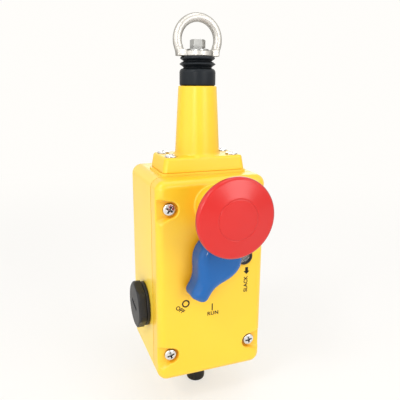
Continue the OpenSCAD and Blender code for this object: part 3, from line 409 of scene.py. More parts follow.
# %% Red and blue mouldings
# Painted shade: dark red in hollows and along the outline where the cap's rim turns away.
red = finish("red_moulding", (0.600, 0.011, 0.008), (0.630, 0.013, 0.010), drift=14,
             rough=(0.26, 0.31), grain=1800, depth=0.015, hollow=(0.45, 0.008, 0.006),
             rim=(0.30, 0.008, 0.006), Specular_IOR_Level=0.34, Coat_Weight=0.3,
             Coat_Roughness=0.22)
# Painted shadow: the dark blue hollow tone reaches 40 mm and paints the cap's shadow on the knob.
blue = finish("blue_moulding", (0.012, 0.114, 0.370), (0.014, 0.126, 0.400), drift=20,
              rough=(0.13, 0.17), grain=1500, depth=0.01, hollow=(0.001, 0.010, 0.065),
              reach=0.04, Specular_IOR_Level=0.26)

# %% [markdown]
# Black parts are never pure black. The rubber of the boot is a soft grey black with a dusty
# bloom, and the plugs are nylon with a faint sheen and a fine spark texture.

# %% Rubber and black nylon
# Painted shade: the rubber turns nearly black in its folds and along its outline.
rubber = finish("black_rubber", (0.006, 0.009, 0.012), (0.010, 0.013, 0.017), drift=60,
                rough=(0.36, 0.46), grain=700, depth=0.12, hollow=(0.001, 0.001, 0.001),
                reach=0.007, rim=(0.001, 0.001, 0.001), Specular_IOR_Level=0.2)
nylon = finish("black_nylon", (0.006, 0.006, 0.007), (0.010, 0.010, 0.011), drift=45,
               rough=(0.36, 0.50), grain=1100, depth=0.25, Specular_IOR_Level=0.38)

# %% [markdown]
# The metals: cast stainless with a satin grain for the eye, bright zinc plate on the screws,
# brushed stainless for shafts and springs, and brass for bushes and contacts.

# %% Metals
# Painted reflection: the eye darkens along its outline, as if dark surroundings showed there.
stainless = finish("satin_stainless", (0.53, 0.51, 0.475), (0.57, 0.55, 0.51), drift=90,
                   rough=(0.40, 0.44), grain=900, depth=0.012, edge=0.04,
                   rim=(0.17, 0.16, 0.13), Metallic=1.0)
# Painted shade: the zinc darkens in the screws' cross recesses.
zinc = finish("zinc_plate", (0.62, 0.62, 0.61), (0.72, 0.72, 0.71), drift=160,
              rough=(0.20, 0.30), grain=900, depth=0.03, hollow=(0.010, 0.012, 0.014),
              reach=0.0022, Metallic=1.0)
# Painted shade and reflection: the bolt darkens in its corners and along its outline.
bright_steel = finish("bright_steel", (0.48, 0.48, 0.47), (0.56, 0.56, 0.54), drift=200,
                      rough=(0.28, 0.36), grain=900, depth=0.02, hollow=(0.010, 0.010, 0.012),
                      reach=0.003, rim=(0.08, 0.08, 0.08), Metallic=1.0)
spring_steel = finish("drawn_steel", (0.50, 0.50, 0.50), (0.60, 0.60, 0.59), drift=50,
                      rough=(0.22, 0.36), grain=700, depth=0.2, stretch=(1, 1, 0.15),
                      Metallic=1.0)
brass = finish("brass", (0.62, 0.42, 0.14), (0.72, 0.52, 0.20), drift=70, rough=(0.2, 0.34),
               grain=900, depth=0.2, Metallic=1.0)

# %% [markdown]
# Inside there are moulded plastics that hardly show, a clear one for the window, and the
# black ink of the printed marks.

# %% Other plastics and ink
pale_plastic = finish("pale_acetal", (0.72, 0.70, 0.62), (0.80, 0.78, 0.70), rough=(0.35, 0.5))
grey_plastic = finish("grey_nylon", (0.16, 0.17, 0.18), (0.22, 0.23, 0.24), rough=(0.4, 0.55))
green_plastic = finish("green_moulding", (0.03, 0.15, 0.12), (0.04, 0.19, 0.15), rough=(0.4, 0.55))
clear_plastic = finish("clear_window", (0.80, 0.84, 0.84), (0.86, 0.89, 0.89), rough=(0.03, 0.06),
                       depth=0.02, Transmission_Weight=0.9, IOR=1.49)
ink = finish("black_print", (0.006, 0.006, 0.006), (0.010, 0.010, 0.009), drift=300,
             rough=(0.45, 0.6), Specular_IOR_Level=0.15)
print("finishes:", len(bpy.data.materials))

# %% [markdown]
# Each node of the frame names its material slot in the record. One table turns those slots
# into finishes. The frame's meshes come in as flat facets, so a small node group welds them
# and shades them smooth where the faces meet at less than 35 degrees; the mesh itself and its
# size stay as they are.

# %% Dress the frame
FINISH_OF_SLOT = {
    "yellow_casting": yellow, "black_rubber": rubber, "plated_steel": zinc,
    "stainless": spring_steel, "brass": brass, "pale_plastic": pale_plastic,
    "grey_plastic": grey_plastic, "green_plastic": green_plastic,
    "clear_plastic": clear_plastic, "black_plastic": nylon, "red_plastic": red,
    "blue_plastic": blue}
WELD = 1e-6


def shading_group(limit):
    """Geometry nodes that weld a mesh and mark only its steep edges as sharp."""
    group = bpy.data.node_groups.new("smooth_shading", "GeometryNodeTree")
    for way in ("INPUT", "OUTPUT"):
        group.interface.new_socket("Geometry", in_out=way, socket_type="NodeSocketGeometry")
    start = add_node(group, "NodeGroupInput")
    weld = add_node(group, "GeometryNodeMergeByDistance", Geometry=start.outputs[0],
                    Distance=WELD)
    faces = add_node(group, "GeometryNodeSetShadeSmooth", Geometry=weld.outputs["Geometry"])
    angle = add_node(group, "GeometryNodeInputMeshEdgeAngle").outputs["Unsigned Angle"]
    steep = add_node(group, "FunctionNodeCompare", angle, limit)
    edges = add_node(group, "GeometryNodeSetShadeSmooth", settings={"domain": "EDGE"},
                     Geometry=faces.outputs["Geometry"], Selection=steep.outputs["Result"],
                     Shade_Smooth=False)
    add_node(group, "NodeGroupOutput", edges.outputs["Geometry"])
    return group


smooth_shading = shading_group(math.radians(35))
for part in frame["record"]["subparts"]:
    node = frame["nodes"][part["node"]]
    node.data.materials.clear()
    node.data.materials.append(FINISH_OF_SLOT[part["material_slot"]])
    node.modifiers.new("smooth_shading", "NODES").node_group = smooth_shading
frame["nodes"]["eye_ring"].data.materials[0] = stainless
frame["nodes"]["housing"].data.materials[0] = yellow_housing
print("dressed", len(frame["nodes"]), "nodes")

# %% [markdown]
# Positions come from the frame's own boxes. Short helpers turn a node's box into
# millimetres and find its middle, and the main planes of the housing follow from them.

# %% Main planes of the housing
def box_mm(node):
    """The low and the high corner of a node, in millimetres."""
    low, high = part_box(node)
    return [c / MM for c in low], [c / MM for c in high]


def middle_mm(node):
    """The middle of a node, in millimetres."""
    return [(a + b) / 2 for a, b in zip(*box_mm(node))]


cover_low, cover_high = box_mm("cover")
HALF_W, SEAM, HALF_H = cover_high
BOSS_H = 4.5  # the solid's own boss, in front of the face
FACE = cover_low[1] + BOSS_H
BUTTON_Z = middle_mm("estop_cap")[2]
KNOB_Z = middle_mm("knob_bush")[2]
WINDOW_X, _, WINDOW_Z = middle_mm("window_ring")
SHAFT_Y = middle_mm("eye_ring")[1]
COVER_PAN_R = 4.75
screw_high = box_mm("cover_screws")[1]
SCREW_X, SCREW_Z = screw_high[0] - COVER_PAN_R, screw_high[2] - COVER_PAN_R
SCREW_HOLE_R = 2.75
print("face", round(FACE, 2), "button", round(BUTTON_Z, 2), "knob", round(KNOB_Z, 2),
      "screws", round(SCREW_X, 2), round(SCREW_Z, 2), "shaft", round(SHAFT_Y, 2))

# %% [markdown]
# The front cover is a pressure die casting with a generous radius round its front edge. Each
# corner screw sits in a pocket that is round on its inner side and runs out over the side of
# the cover, so that a screwdriver and a finger can reach it. A round seat, higher than the
# rest of the face, carries the button, and a lower one the knob.

# %% Front cover
WALL = 4.5
CORNER_R, FRONT_EDGE = 8, 6
OVER_SEAM = 1.1
SEAT_H, SEAT_R, SEAT_DRAFT, SEAT_FILLET = 7.4, 14.7, 0.05, 1.8
STUB_H, STUB_R, STUB_FILLET = 4, 10.4, 1.2
TUBE_HOLE_R, COLLAR_HOLE_R, BUSH_HOLE_R = 11.15, 13.1, 7.45
WINDOW_HOLE_R, WINDOW_RECESS_R, WINDOW_RECESS = 5, 6.55, 2
POCKET_FLOOR, POCKET_R, PILLAR_R = FACE + 4, 5.9, 9.4


def pocket_field(u, v, y, z):
    """A corner pocket. It widens to the side, and most towards the cover's mid height."""
    height = np.maximum(POCKET_FLOOR - y, 0)
    out = np.clip(u / 8, 0, 1)
    inward = (v * np.sign(z) < 0) * 1.0
    spread = np.where(u < 0, np.hypot(u, v), np.abs(v))
    grown = POCKET_R + 1.3 * out + height * (0.15 + out * (0.30 + 0.65 * inward))
    return overlap((spread - grown) * 0.9, y - POCKET_FLOOR, 0.7)


def cover_field(p):
    x, y, z = p[:, 0], p[:, 1], p[:, 2]
    ahead = FACE - y
    outline = slab(x, z, HALF_W, HALF_H, CORNER_R)
    body = rounded_end(outline, ahead, FRONT_EDGE)
    from_button, from_knob = np.hypot(x, z - BUTTON_Z), np.hypot(x, z - KNOB_Z)
    seat = overlap(from_button - (SEAT_R - SEAT_DRAFT * ahead), ahead - SEAT_H, 0.8)
    seat = overlap(np.maximum(seat, -4 - ahead), z - (HALF_H - 1.2), 0.8)
    stub = np.maximum(overlap(from_knob - STUB_R, ahead - STUB_H, 0.8), -4 - ahead)
    body = join(join(body, seat, SEAT_FILLET), stub, STUB_FILLET)
    u, v = np.abs(x) - SCREW_X, np.abs(z) - SCREW_Z
    body = cut(body, pocket_field(u, v, y, z), 0.9)
    pillar = np.where(u < 0, np.hypot(u, v), np.abs(v)) - PILLAR_R
    hollow = np.maximum(np.maximum(outline + WALL, FACE + WALL - y), -pillar)
    body = cut(np.maximum(body, y - SEAM - OVER_SEAM), hollow)
    from_window = np.hypot(x - WINDOW_X, z - WINDOW_Z)
    holes = [from_button - TUBE_HOLE_R,
             np.maximum(from_button - COLLAR_HOLE_R, BOSS_H - ahead),
             from_knob - BUSH_HOLE_R,
             from_window - WINDOW_HOLE_R,
             np.maximum(from_window - WINDOW_RECESS_R, y - FACE - WINDOW_RECESS),
             np.hypot(u, v) - SCREW_HOLE_R]
    return cut(body, np.minimum.reduce(holes), 0.3)


cover = soft_shape("cover_casting", cover_field, (cover_low[0], FACE - SEAT_H, cover_low[2]),
                   (cover_high[0], SEAM + OVER_SEAM, cover_high[2]), 0.72, yellow, "root")
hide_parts("cover")

# %% [markdown]
# The head casting is a block with drafted sides and a long tapered neck that guides the
# shaft. The neck's foot has a small fillet. Inside, it is bored for the spring and the bush.

# %% Head casting
head_low, head_high = box_mm("head")
BLOCK_Z, BLOCK_H, NECK_H = head_low[2], 10.3, 52.7
BLOCK_TOP = BLOCK_Z + BLOCK_H
NECK_TOP = BLOCK_TOP + NECK_H
BLOCK_HALF, BLOCK_DEEP = head_high[0], (head_high[1] - head_low[1]) / 2
DRAFT_X, DRAFT_Y = 1.7, 0.85
BLOCK_CORNER, BLOCK_EDGE = 4, 1.6
NECK_R, NECK_TAPER, NECK_EDGE = 17.6, 2.8, 0.9
SPIGOT_R, SPRING_BORE_R, SPRING_ROOF, BUSH_BORE_R = 11.9, 11, 134, 7.6
HEAD_PAN_R = 4.4
head_screw_low, head_screw_high = box_mm("head_screws")
HEAD_SCREW_X = head_screw_high[0] - HEAD_PAN_R
HEAD_SCREW_Y = (head_screw_high[1] - head_screw_low[1]) / 2 - HEAD_PAN_R
LIP = 0.94  # how far the block's edge reaches down over its gasket


def head_holes(x, y):
    """Distance to the screw holes of the head."""
    return np.hypot(np.abs(x) - HEAD_SCREW_X, np.abs(y) - HEAD_SCREW_Y) - SCREW_HOLE_R


def head_field(p):
    x, y, z = p[:, 0], p[:, 1] - SHAFT_Y, p[:, 2]
    rise = z - BLOCK_TOP
    up = np.clip((z - BLOCK_Z) / BLOCK_H, 0, 1)
    side = slab(x, y, BLOCK_HALF - DRAFT_X * up, BLOCK_DEEP - DRAFT_Y * up, BLOCK_CORNER)
    block = rounded_end(side, rise, BLOCK_EDGE)
    across = np.hypot(x, y)
    neck = rounded_end(across - (NECK_R - NECK_TAPER * rise / NECK_H), z - NECK_TOP, NECK_EDGE)
    fillet = 0.05 + 2.55 * np.clip((rise + 2) / 2, 0, 1)
    body = join(block, np.maximum(neck, -3 - rise), fillet)
    spigot = np.maximum(across - SPIGOT_R, z - head_high[2])
    body = np.minimum(body, np.maximum(spigot, NECK_TOP - 2 - z))
    bore = np.minimum(np.maximum(across - SPRING_BORE_R, z - SPRING_ROOF), across - BUSH_BORE_R)
    body = cut(cut(body, bore), head_holes(x, y), 0.4)
    return np.maximum(body, BLOCK_Z - LIP - z)


head = soft_shape("head_casting", head_field, (head_low[0], head_low[1], head_low[2] - LIP),
                  head_high, 0.8, yellow_head, "root")
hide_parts("head")

# %% [markdown]
# A thin rubber gasket lies under the block, set back a little from its edge.

# %% Head gasket
SET_BACK = 0.8
gasket_low, gasket_high = box_mm("head_gasket")


def gasket_field(p):
    x, y, z = p[:, 0], p[:, 1] - SHAFT_Y, p[:, 2]
    sheet = slab(x, y, BLOCK_HALF - SET_BACK, BLOCK_DEEP - SET_BACK, BLOCK_CORNER)
    sheet = np.maximum(sheet, np.maximum(z - BLOCK_Z, gasket_low[2] - z))
    return cut(sheet, np.minimum(np.hypot(x, y) - SPRING_BORE_R, head_holes(x, y)))


head_gasket = soft_shape("head_gasket_sheet", gasket_field, gasket_low, gasket_high, 0.8, rubber,
                         "root")
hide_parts("head_gasket")

# %% [markdown]
# The reset knob is a round body with a handle that points to the chosen mark. Its outline is a
# circle and a bar joined by long hollow curves, and the front edge is well rounded, because
# fingers grip it there. At rest the handle points to OFF, about 30 degrees off the vertical.

# %% Reset knob
knob_low, knob_high = box_mm("reset_knob")
KNOB_FRONT, KNOB_BACK = knob_low[1], knob_high[1]
HANDLE_TURN = math.radians(31)
DISC_R, HANDLE_HALF, HANDLE_HALF_W, HANDLE_CORNER, WAIST = 18.1, 18, 7.8, 5.6, 10.5
KNOB_DRAFT, GRIP_EDGE, KNOB_WALL, HUB_R = 0.05, 6.8, 2.2, 5.1
SKIRT = 2.2  # how far the rim reaches back over the cover's stub


def knob_field(p):
    x, y, z = p[:, 0], p[:, 1], p[:, 2] - KNOB_Z
    along = -x * math.sin(HANDLE_TURN) - z * math.cos(HANDLE_TURN)
    across = x * math.cos(HANDLE_TURN) - z * math.sin(HANDLE_TURN)
    disc = np.hypot(along, across) - DISC_R
    bar = slab(along - HANDLE_HALF, across, HANDLE_HALF, HANDLE_HALF_W, HANDLE_CORNER)
    outline = join(disc, bar, WAIST) + KNOB_DRAFT * (KNOB_BACK + SKIRT - y)
    fall = 0.0035 * along ** 2 * (along < 0)
    body = rounded_end(outline, KNOB_FRONT - y + fall, GRIP_EDGE)
    body = rounded_end(body, y - KNOB_BACK - SKIRT, 0.6)
    under = np.maximum(outline + KNOB_WALL, KNOB_BACK - y)
    hub = np.maximum(np.hypot(x, z) - HUB_R, KNOB_BACK - 11 - y)
    return cut(body, np.minimum(under, hub))


knob = soft_shape("knob_moulding", knob_field, (knob_low[0] - 1, knob_low[1], knob_low[2] - 3),
                  (knob_high[0] + 1, knob_high[1] + SKIRT, knob_high[2] + 1), 0.55, blue, "knob")
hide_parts("reset_knob")

# %% [markdown]
# The mushroom cap is turned: a hub that takes the stem, a thin flared back, a rounded rim and
# a gently domed front with a shallow moulded ring. It moves with the button.

# %% Mushroom cap
cap_low, cap_high = box_mm("estop_cap")
BUTTON_R = (cap_high[0] - cap_low[0]) / 2
HUB = FACE - cap_high[1]
RIM_FRONT = FACE - cap_low[1] - 4
RIM_BACK = RIM_FRONT - 5
cap_outline = [(0.0, HUB + 13), (6.1, HUB + 13), (6.1, HUB), (9, HUB), (9.7, RIM_BACK - 5.5),
               (BUTTON_R - 7, RIM_BACK - 1.3), (BUTTON_R - 1.6, RIM_BACK),
               (BUTTON_R, RIM_BACK + 2.0), (BUTTON_R - 0.2, RIM_FRONT - 0.6),
               (BUTTON_R - 1.4, RIM_FRONT + 0.75), (BUTTON_R - 4.2, RIM_FRONT + 1.25),
               (BUTTON_R * 0.7, RIM_FRONT + 2.1), (15.2, RIM_FRONT + 3.1)]
ring_groove = [(14.6, RIM_FRONT + 3.14), (14.35, RIM_FRONT + 2.95), (14.1, RIM_FRONT + 2.95),
               (13.85, RIM_FRONT + 3.2)]
dome = [(13, RIM_FRONT + 3.27), (9, RIM_FRONT + 3.62), (4.5, RIM_FRONT + 3.9),
        (0.0, RIM_FRONT + 4)]
cap = turned("mushroom_cap", eased(cap_outline + ring_groove + dome, 1.2, 3),
             (0, FACE * MM, BUTTON_Z * MM), (0, -1, 0), red, "estop", around=144)
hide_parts("estop_cap")

# %% [markdown]
# Behind the cap a slim black collar clamps the button's seal to its seat. It stays out of
# sight from the front, and shows from the side.

# %% Button collar
collar_low, collar_high = box_mm("estop_collar")
TUBE_BACK = FACE - collar_high[1]
TUBE_FRONT = FACE - collar_low[1]
collar_outline = [(6.05, TUBE_BACK), (11, TUBE_BACK), (11, BOSS_H), (12.9, BOSS_H), (12.9, 6.0),
                  (12.5, 6.2), (12.5, 6.7), (12.9, 6.9), (12.8, 7.6), (12.2, 8.1), (11, 8.1),
                  (10.9, TUBE_FRONT - 0.6), (10.5, TUBE_FRONT), (9.8, TUBE_FRONT),
                  (9.8, BOSS_H + 3), (6.05, BOSS_H + 3), (6.05, TUBE_BACK)]
collar = turned("button_collar", eased(collar_outline, 0.3, 3),
                (0, FACE * MM, BUTTON_Z * MM), (0, -1, 0), nylon, "root")
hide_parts("estop_collar")

# %% [markdown]
# Two coil springs work round the shaft and behind the button. The wire's first and last turns
# lie close and are ground flat.

# %% Coil springs
STEPS, SIDES = 40, 12
END_GAP = 0.04


def coil(name, node, axis, radius, wire, turns):
    """A compression spring in place of a node's coil."""
    low, high = box_mm(node)
    middle = middle_mm(node)
    length = high[axis] - low[axis]
    pitch = (length - 2 * 2.7 * wire) / (turns - 2)

    def rise(t):
        if t < 1:
            return 0.7 * wire + 2 * wire * t
        if t <= turns - 1:
            return 2.7 * wire + pitch * (t - 1)
        return length - 0.7 * wire - 2 * wire * (turns - t)

    bm = bmesh.new()
    rings = []
    for t in (i / STEPS for i in range(turns * STEPS + 1)):
        ring = []
        for b in (2 * math.pi * j / SIDES for j in range(SIDES)):
            out = radius + wire * math.cos(b)
            along = min(max(rise(t) + wire * math.sin(b), END_GAP), length - END_GAP)
            p = [out * math.cos(2 * math.pi * t), out * math.sin(2 * math.pi * t)]
            p.insert(axis, along - length / 2)
            ring.append(bm.verts.new([(c + m) * MM for c, m in zip(p, middle)]))
        rings.append(ring)
    for ring, after in zip(rings, rings[1:]):
        for j in range(SIDES):
            bm.faces.new((ring[j - 1], ring[j], after[j], after[j - 1]))
    for end in (rings[0], rings[-1]):
        bm.faces.new(end)
    mesh = mesh_from(bm, name)
    mesh.shade_smooth()
    piece = new_object(name, mesh, spring_steel, "root")
    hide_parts(node)
    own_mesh(piece)
    print(name, round(length, 2), "mm long at rest, pitch", round(pitch, 2))


coil("shaft_spring", "main_spring", axis=2, radius=7.7, wire=1.2, turns=6)
coil("button_spring", "estop_spring", axis=1, radius=7.9, wire=0.7, turns=4)

# %% [markdown]
# The boot keeps dirt out of the shaft guide. Its foot is a plain sleeve, and above it two folds
# let it stretch when the shaft is pulled.

# %% Rubber boot
boot_low, boot_high = box_mm("boot")
BOOT_Z = boot_low[2]
sleeve = [(12.0, 0), (13.1, 0), (13.2, 0.35), (13.85, 0.75), (13.85, 10.2), (13.5, 11.4),
          (12.6, 12.5)]
folds = [(11.2, 13.0), (10.7, 13.6), (12.0, 14.6), (13.7, 15.7), (13.8, 16.1), (12.4, 17.4),
         (11.0, 18.0), (11.0, 18.4), (12.6, 19.4), (13.4, 20.2), (13.2, 20.8), (12.4, 21.75)]
inside = [(5.1, 21.75), (5.1, 20.4), (9.6, 20.2), (11.4, 19.9), (9.4, 18.2), (11.8, 16.0),
          (9.3, 13.4), (10.6, 11.9), (12.0, 9.0), (12.0, 0)]
boot = turned("boot_sleeve", eased(sleeve + folds + inside, 0.5, 3),
              (0, SHAFT_Y * MM, BOOT_Z * MM), (0, 0, 1), rubber, None)
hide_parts("boot")
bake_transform(boot)

# %% [markdown]
# The rope eye is cast in stainless steel: round wire bent into an omega that ends in a flat
# foot with square shoulders. A hexagon bolt with a flange holds the foot on the shaft.

# %% Rope eye
eye_low, eye_high = box_mm("eye_ring")
EYE_FOOT = eye_low[2]
EYE_Z = EYE_FOOT + 11.95
EYE_R, WIRE_R = 16.2, 3.36
LEAN = math.radians(18)  # of the legs, inwards
SHOULDER_TOP, FOOT_TOP, DISC_TOP = -7.2, -7.8, -8.2  # under the ring's middle
FOOT_HALF, FOOT_DEEP, FOOT_DISC_R, FOOT_HOLE_R = 16.3, 3.55, 11.4, 3.1


def segment(p, a, b):
    """Distance to the line between two points."""
    a, b = np.array(a, float), np.array(b, float)
    t = np.clip(((p - a) @ (b - a)) / ((b - a) @ (b - a)), 0, 1)
    return np.linalg.norm(p - a - t[:, None] * (b - a), axis=1)


def eye_field(p):
    q = np.stack([np.abs(p[:, 0]), p[:, 1] - SHAFT_Y, p[:, 2] - EYE_Z], 1)
    x, y, z = q.T
    ring = np.hypot(np.hypot(x, z) - EYE_R, y) - WIRE_R
    arc = np.maximum(ring, -(z + EYE_R * math.sin(LEAN)))
    top = (EYE_R * math.cos(LEAN), 0, -EYE_R * math.sin(LEAN))
    drop = 14 - EYE_R * math.sin(LEAN)
    leg = segment(q, top, (top[0] - drop * math.tan(LEAN), 0, top[2] - drop)) - WIRE_R
    wire = join(arc, leg, 0.3)
    shoulder = np.maximum(slab(x - 13.5, y, 2.85, 3.5, 0.8), z - SHOULDER_TOP)
    foot = np.maximum(slab(x, y, FOOT_HALF, FOOT_DEEP, 1), z - FOOT_TOP)
    disc = np.maximum(np.hypot(x, y) - FOOT_DISC_R, z - DISC_TOP)
    body = join(join(wire, foot, 1.6), join(shoulder, disc, 1.2), 1.4)
    body = overlap(body, EYE_FOOT - p[:, 2], 0.5)
    return cut(body, np.maximum(np.hypot(x, y) - FOOT_HOLE_R, z + 5), 0.2)


eye = soft_shape("rope_eye", eye_field, eye_low, eye_high, 0.5, stainless, "puller")
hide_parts("eye_ring")

# %% [markdown]
# The bolt head is forged: a flange that slopes off at its rim, and a hexagon with its corners
# turned off.

# %% Eye bolt
bolt_low, bolt_high = box_mm("eye_bolt")
EYE_FOOT_H = 4.2
BOLT_Z = EYE_FOOT + EYE_FOOT_H
BOLT_TOP = bolt_high[2] - BOLT_Z + 0.7
BOLT_FLATS, BOLT_TURN = 10.4, math.radians(-16)
FLANGE_R, FLANGE_H = 8.4, 1.4


def hexagon(x, y, flats):
    """Distance to a hexagon with a corner on the x direction."""
    x, y = np.abs(x), np.abs(y)
    return np.maximum(y, x * math.cos(math.pi / 6) + y * 0.5) - flats / 2


def spun(u, v, turn):
    """Two coordinates turned about their origin."""
    return u * math.cos(turn) + v * math.sin(turn), v * math.cos(turn) - u * math.sin(turn)


def bolt_field(p):
    x, y, z = p[:, 0], p[:, 1] - SHAFT_Y, p[:, 2] - BOLT_Z
    across = np.hypot(x, y)
    flange = overlap(across - FLANGE_R, z - FLANGE_H, 0.5)
    flange = overlap(flange, z - 2.1 + (across - 5) * 0.35, 0.3)
    hexa = overlap(hexagon(*spun(x, y, BOLT_TURN), BOLT_FLATS), z - BOLT_TOP, 0.4)
    hexa = overlap(hexa, (across - 5) * 0.6 + z - BOLT_TOP, 0.25)
    shank = np.maximum(across - 3, z - 0.5)
    return np.maximum(np.minimum(join(flange, hexa, 0.5), shank), -12 - z)


bolt = soft_shape("flange_bolt", bolt_field, (-8.5, SHAFT_Y - 8.5, bolt_low[2]),
                  (8.5, SHAFT_Y + 8.5, bolt_high[2] + 1), 0.34, bright_steel, "puller")
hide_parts("eye_bolt")

# %% [markdown]
# Pan head screws with a cross recess hold the cover and the head. One head is shaped as a
# field, then copied to each place with its own turn, because no fitter leaves them all lined
# up. Each set is one object, as it is one node of the frame.

# %% Screw heads
SHANK_R, SHANK_LEN = 2.45, 8
FIRST_TURN, NEXT_TURN = 17, 41
TO_FRONT = np.array([[1, 0, 0], [0, 0, -1], [0, 1, 0]])
UPRIGHT = np.eye(3)


def screw_field(radius, rise):
    """A pan head with its underside at 0, a cross recess and a plain shank."""
    def field(p):
        x, y, z = p[:, 0], p[:, 1], p[:, 2]
        across = np.hypot(x, y)
        pan = overlap(across - radius, z - rise + 0.035 * across ** 2, 1.1)
        pan = np.maximum(pan, -z)
        a, b = np.abs(x), np.abs(y)
        long, thick = radius * 0.62, radius * 0.14
        arms = np.minimum(np.maximum(a - long, b - thick), np.maximum(b - long, a - thick))
        recess = join(arms, across - radius * 0.24, 0.5)
        recess = np.maximum(recess + (rise - z) * 0.16, rise - 2.1 - z)
        shank = np.maximum(across - SHANK_R, np.maximum(z - 0.3, -SHANK_LEN - z))
        return np.minimum(cut(pan, recess, 0.25), shank)
    return field


def screw_set(name, node, places, stand, radius, rise):
    """Copies one screw to each place, in mm, with its own turn, and joins them."""
    low, high = (-radius, -radius, -SHANK_LEN), (radius, radius, rise)
    points, normals, quads = net_of(screw_field(radius, rise), low, high, 0.3)
    sets = []
    for i, at in enumerate(places):
        turn = Matrix.Rotation(math.radians(FIRST_TURN + NEXT_TURN * i), 3, "Z")
        turn = stand @ np.array(turn)
        sets.append((points @ turn.T + np.array(at), normals @ turn.T, quads + len(points) * i))
    made = net_piece(name, *(np.concatenate(part) for part in zip(*sets)), zinc, "root")
    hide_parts(node)


corners = [(sx, sy) for sx in (-1, 1) for sy in (-1, 1)]
screw_set("cover_screw_set", "cover_screws", [(sx * SCREW_X, POCKET_FLOOR, sz * SCREW_Z)
                                              for sx, sz in corners], TO_FRONT, COVER_PAN_R, 3)
screw_set("head_screw_set", "head_screws",
          [(sx * HEAD_SCREW_X, SHAFT_Y + sy * HEAD_SCREW_Y, BLOCK_TOP) for sx, sy in corners],
          UPRIGHT, 4.8, 1.9)

# %% [markdown]
# Blanking plugs close the side entries: a thick hexagon whose corners are turned off to a
# round face, a round flange that hides the seal, and a slot for a coin or a screwdriver.

# %% Side plugs
plug_low, plug_high = box_mm("side_plugs")
_, PLUG_Y, PLUG_Z = middle_mm("side_plugs")
PLUG_END = plug_high[0]
PLUG_FLATS, PLUG_TURN, PLUG_FACE_R, PLUG_R = 35.4, math.radians(14), 17.4, 19.2
PLUG_FLANGE_R, PLUG_SEAL_R, ENTRY_R, ENTRY_BORE_R = 18.1, 15.3, 12.4, 10
SLOT_HALF, SLOT_HALF_W, SLOT_DEEP = 7.4, 1.1, 2
ROOM, ENTRY_LEN = 20.3, 11


def plug_field(p):
    x, y, z = np.abs(p[:, 0]), p[:, 1] - PLUG_Y, p[:, 2] - PLUG_Z
    out, end = x - HALF_W, x - PLUG_END
    across = np.hypot(y, z)
    lip = 1 - 0.75 * np.clip((across - PLUG_SEAL_R) / 0.5, 0, 1)
    flange = np.maximum(overlap(across - PLUG_FLANGE_R, out - 2.9, 0.8), lip - out)
    hexa = overlap(hexagon(*spun(z, y, PLUG_TURN), PLUG_FLATS), end, 0.4)
    hexa = overlap(hexa, (across - PLUG_FACE_R) * 0.5 + end * 0.87, 0.4)
    hexa = np.maximum(overlap(hexa, across - PLUG_R, 0.5), 3.2 - out)
    neck = np.maximum(across - 17, np.maximum(end + 2, 2 - out))
    body = np.minimum(np.minimum(flange, hexa), neck)
    stub = np.maximum(across - ENTRY_R, np.maximum(out - 2, -10.5 - out))
    stub = np.maximum(stub, -np.maximum(across - ENTRY_BORE_R, out - 1))
    along, aside = spun(y, z, PLUG_TURN)
    slot = np.maximum(np.abs(along) - SLOT_HALF, np.abs(aside) - SLOT_HALF_W)
    return cut(np.minimum(body, stub), np.maximum(slot, -SLOT_DEEP - end), 0.4)


for side, low_x, high_x in (("left", plug_low[0], ENTRY_LEN - HALF_W),
                            ("right", HALF_W - ENTRY_LEN, plug_high[0])):
    plug = soft_shape(f"side_plug_{side}", plug_field, (low_x, PLUG_Y - ROOM, PLUG_Z - ROOM),
                      (high_x, PLUG_Y + ROOM, PLUG_Z + ROOM), 0.6, nylon, "root")
    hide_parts("side_plugs")

# %% [markdown]
# Under the housing hangs a round cable connector with its dust cap on. The cap is a soft
# moulding with a rounded end.

# %% Dust cap
dust_low, dust_high = box_mm("dust_cap")
DUST_R = (dust_high[0] - dust_low[0]) / 2 + 0.6
DUST_Y = middle_mm("dust_cap")[1]
dust_len = dust_high[2] - dust_low[2]
dust_outline = [(0.0, 0), (DUST_R - 2.4, 0.0), (DUST_R - 0.9, 0.45), (DUST_R - 0.2, 1.4),
                (DUST_R, 3.0), (DUST_R, dust_len - 3.2), (DUST_R - 0.35, dust_len - 3.0),
                (DUST_R - 0.35, dust_len - 2.4), (DUST_R, dust_len - 2.2),
                (DUST_R, dust_len), (6.05, dust_len), (6.05, 7.5), (0.0, 7.5)]
dust = turned("dust_cap_moulding", eased(dust_outline, 0.4, 3),
              (0, DUST_Y * MM, dust_low[2] * MM), (0, 0, 1), nylon, "root")
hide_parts("dust_cap")

# %% [markdown]
# The marks on the face are printed: a bar for on, a ring for off, the words RUN and OFF, and an
# arrow with SLACK beside the window. They are flat outlines lifted a few hundredths of a
# millimetre off the paint. Words come from Blender's own plain font.

# %% Printed marks
MARK_Y, MARK_THICK = FACE - 0.03, 0.02


def printed(name, mesh, x, z, turn=0.0):
    """Places a flat mesh, drawn in millimetres, on the cover's face."""
    mesh.name = name
    face_on = Matrix.Rotation(math.radians(90), 4, "X")
    spin = Matrix.Rotation(math.radians(turn), 4, "Z")
    mesh.transform(Matrix.Translation((x * MM, MARK_Y * MM, z * MM)) @ face_on @ spin
                   @ Matrix.Scale(MM, 4))
    new_object(name, mesh, ink, "root")


def word_mesh(text, size, gap=1.0):
    """A word as a thin flat mesh, centred on its middle."""
    curve = bpy.data.curves.new(text, "FONT")
    curve.body, curve.size, curve.space_character = text, size, gap
    curve.align_x = curve.align_y = "CENTER"
    curve.extrude, curve.offset = MARK_THICK / 2, size * 0.03
    holder = bpy.data.objects.new(text, curve)
    bpy.context.scene.collection.objects.link(holder)
    bpy.context.view_layer.update()
    mesh = bpy.data.meshes.new_from_object(holder)
    bpy.data.objects.remove(holder)
    return mesh


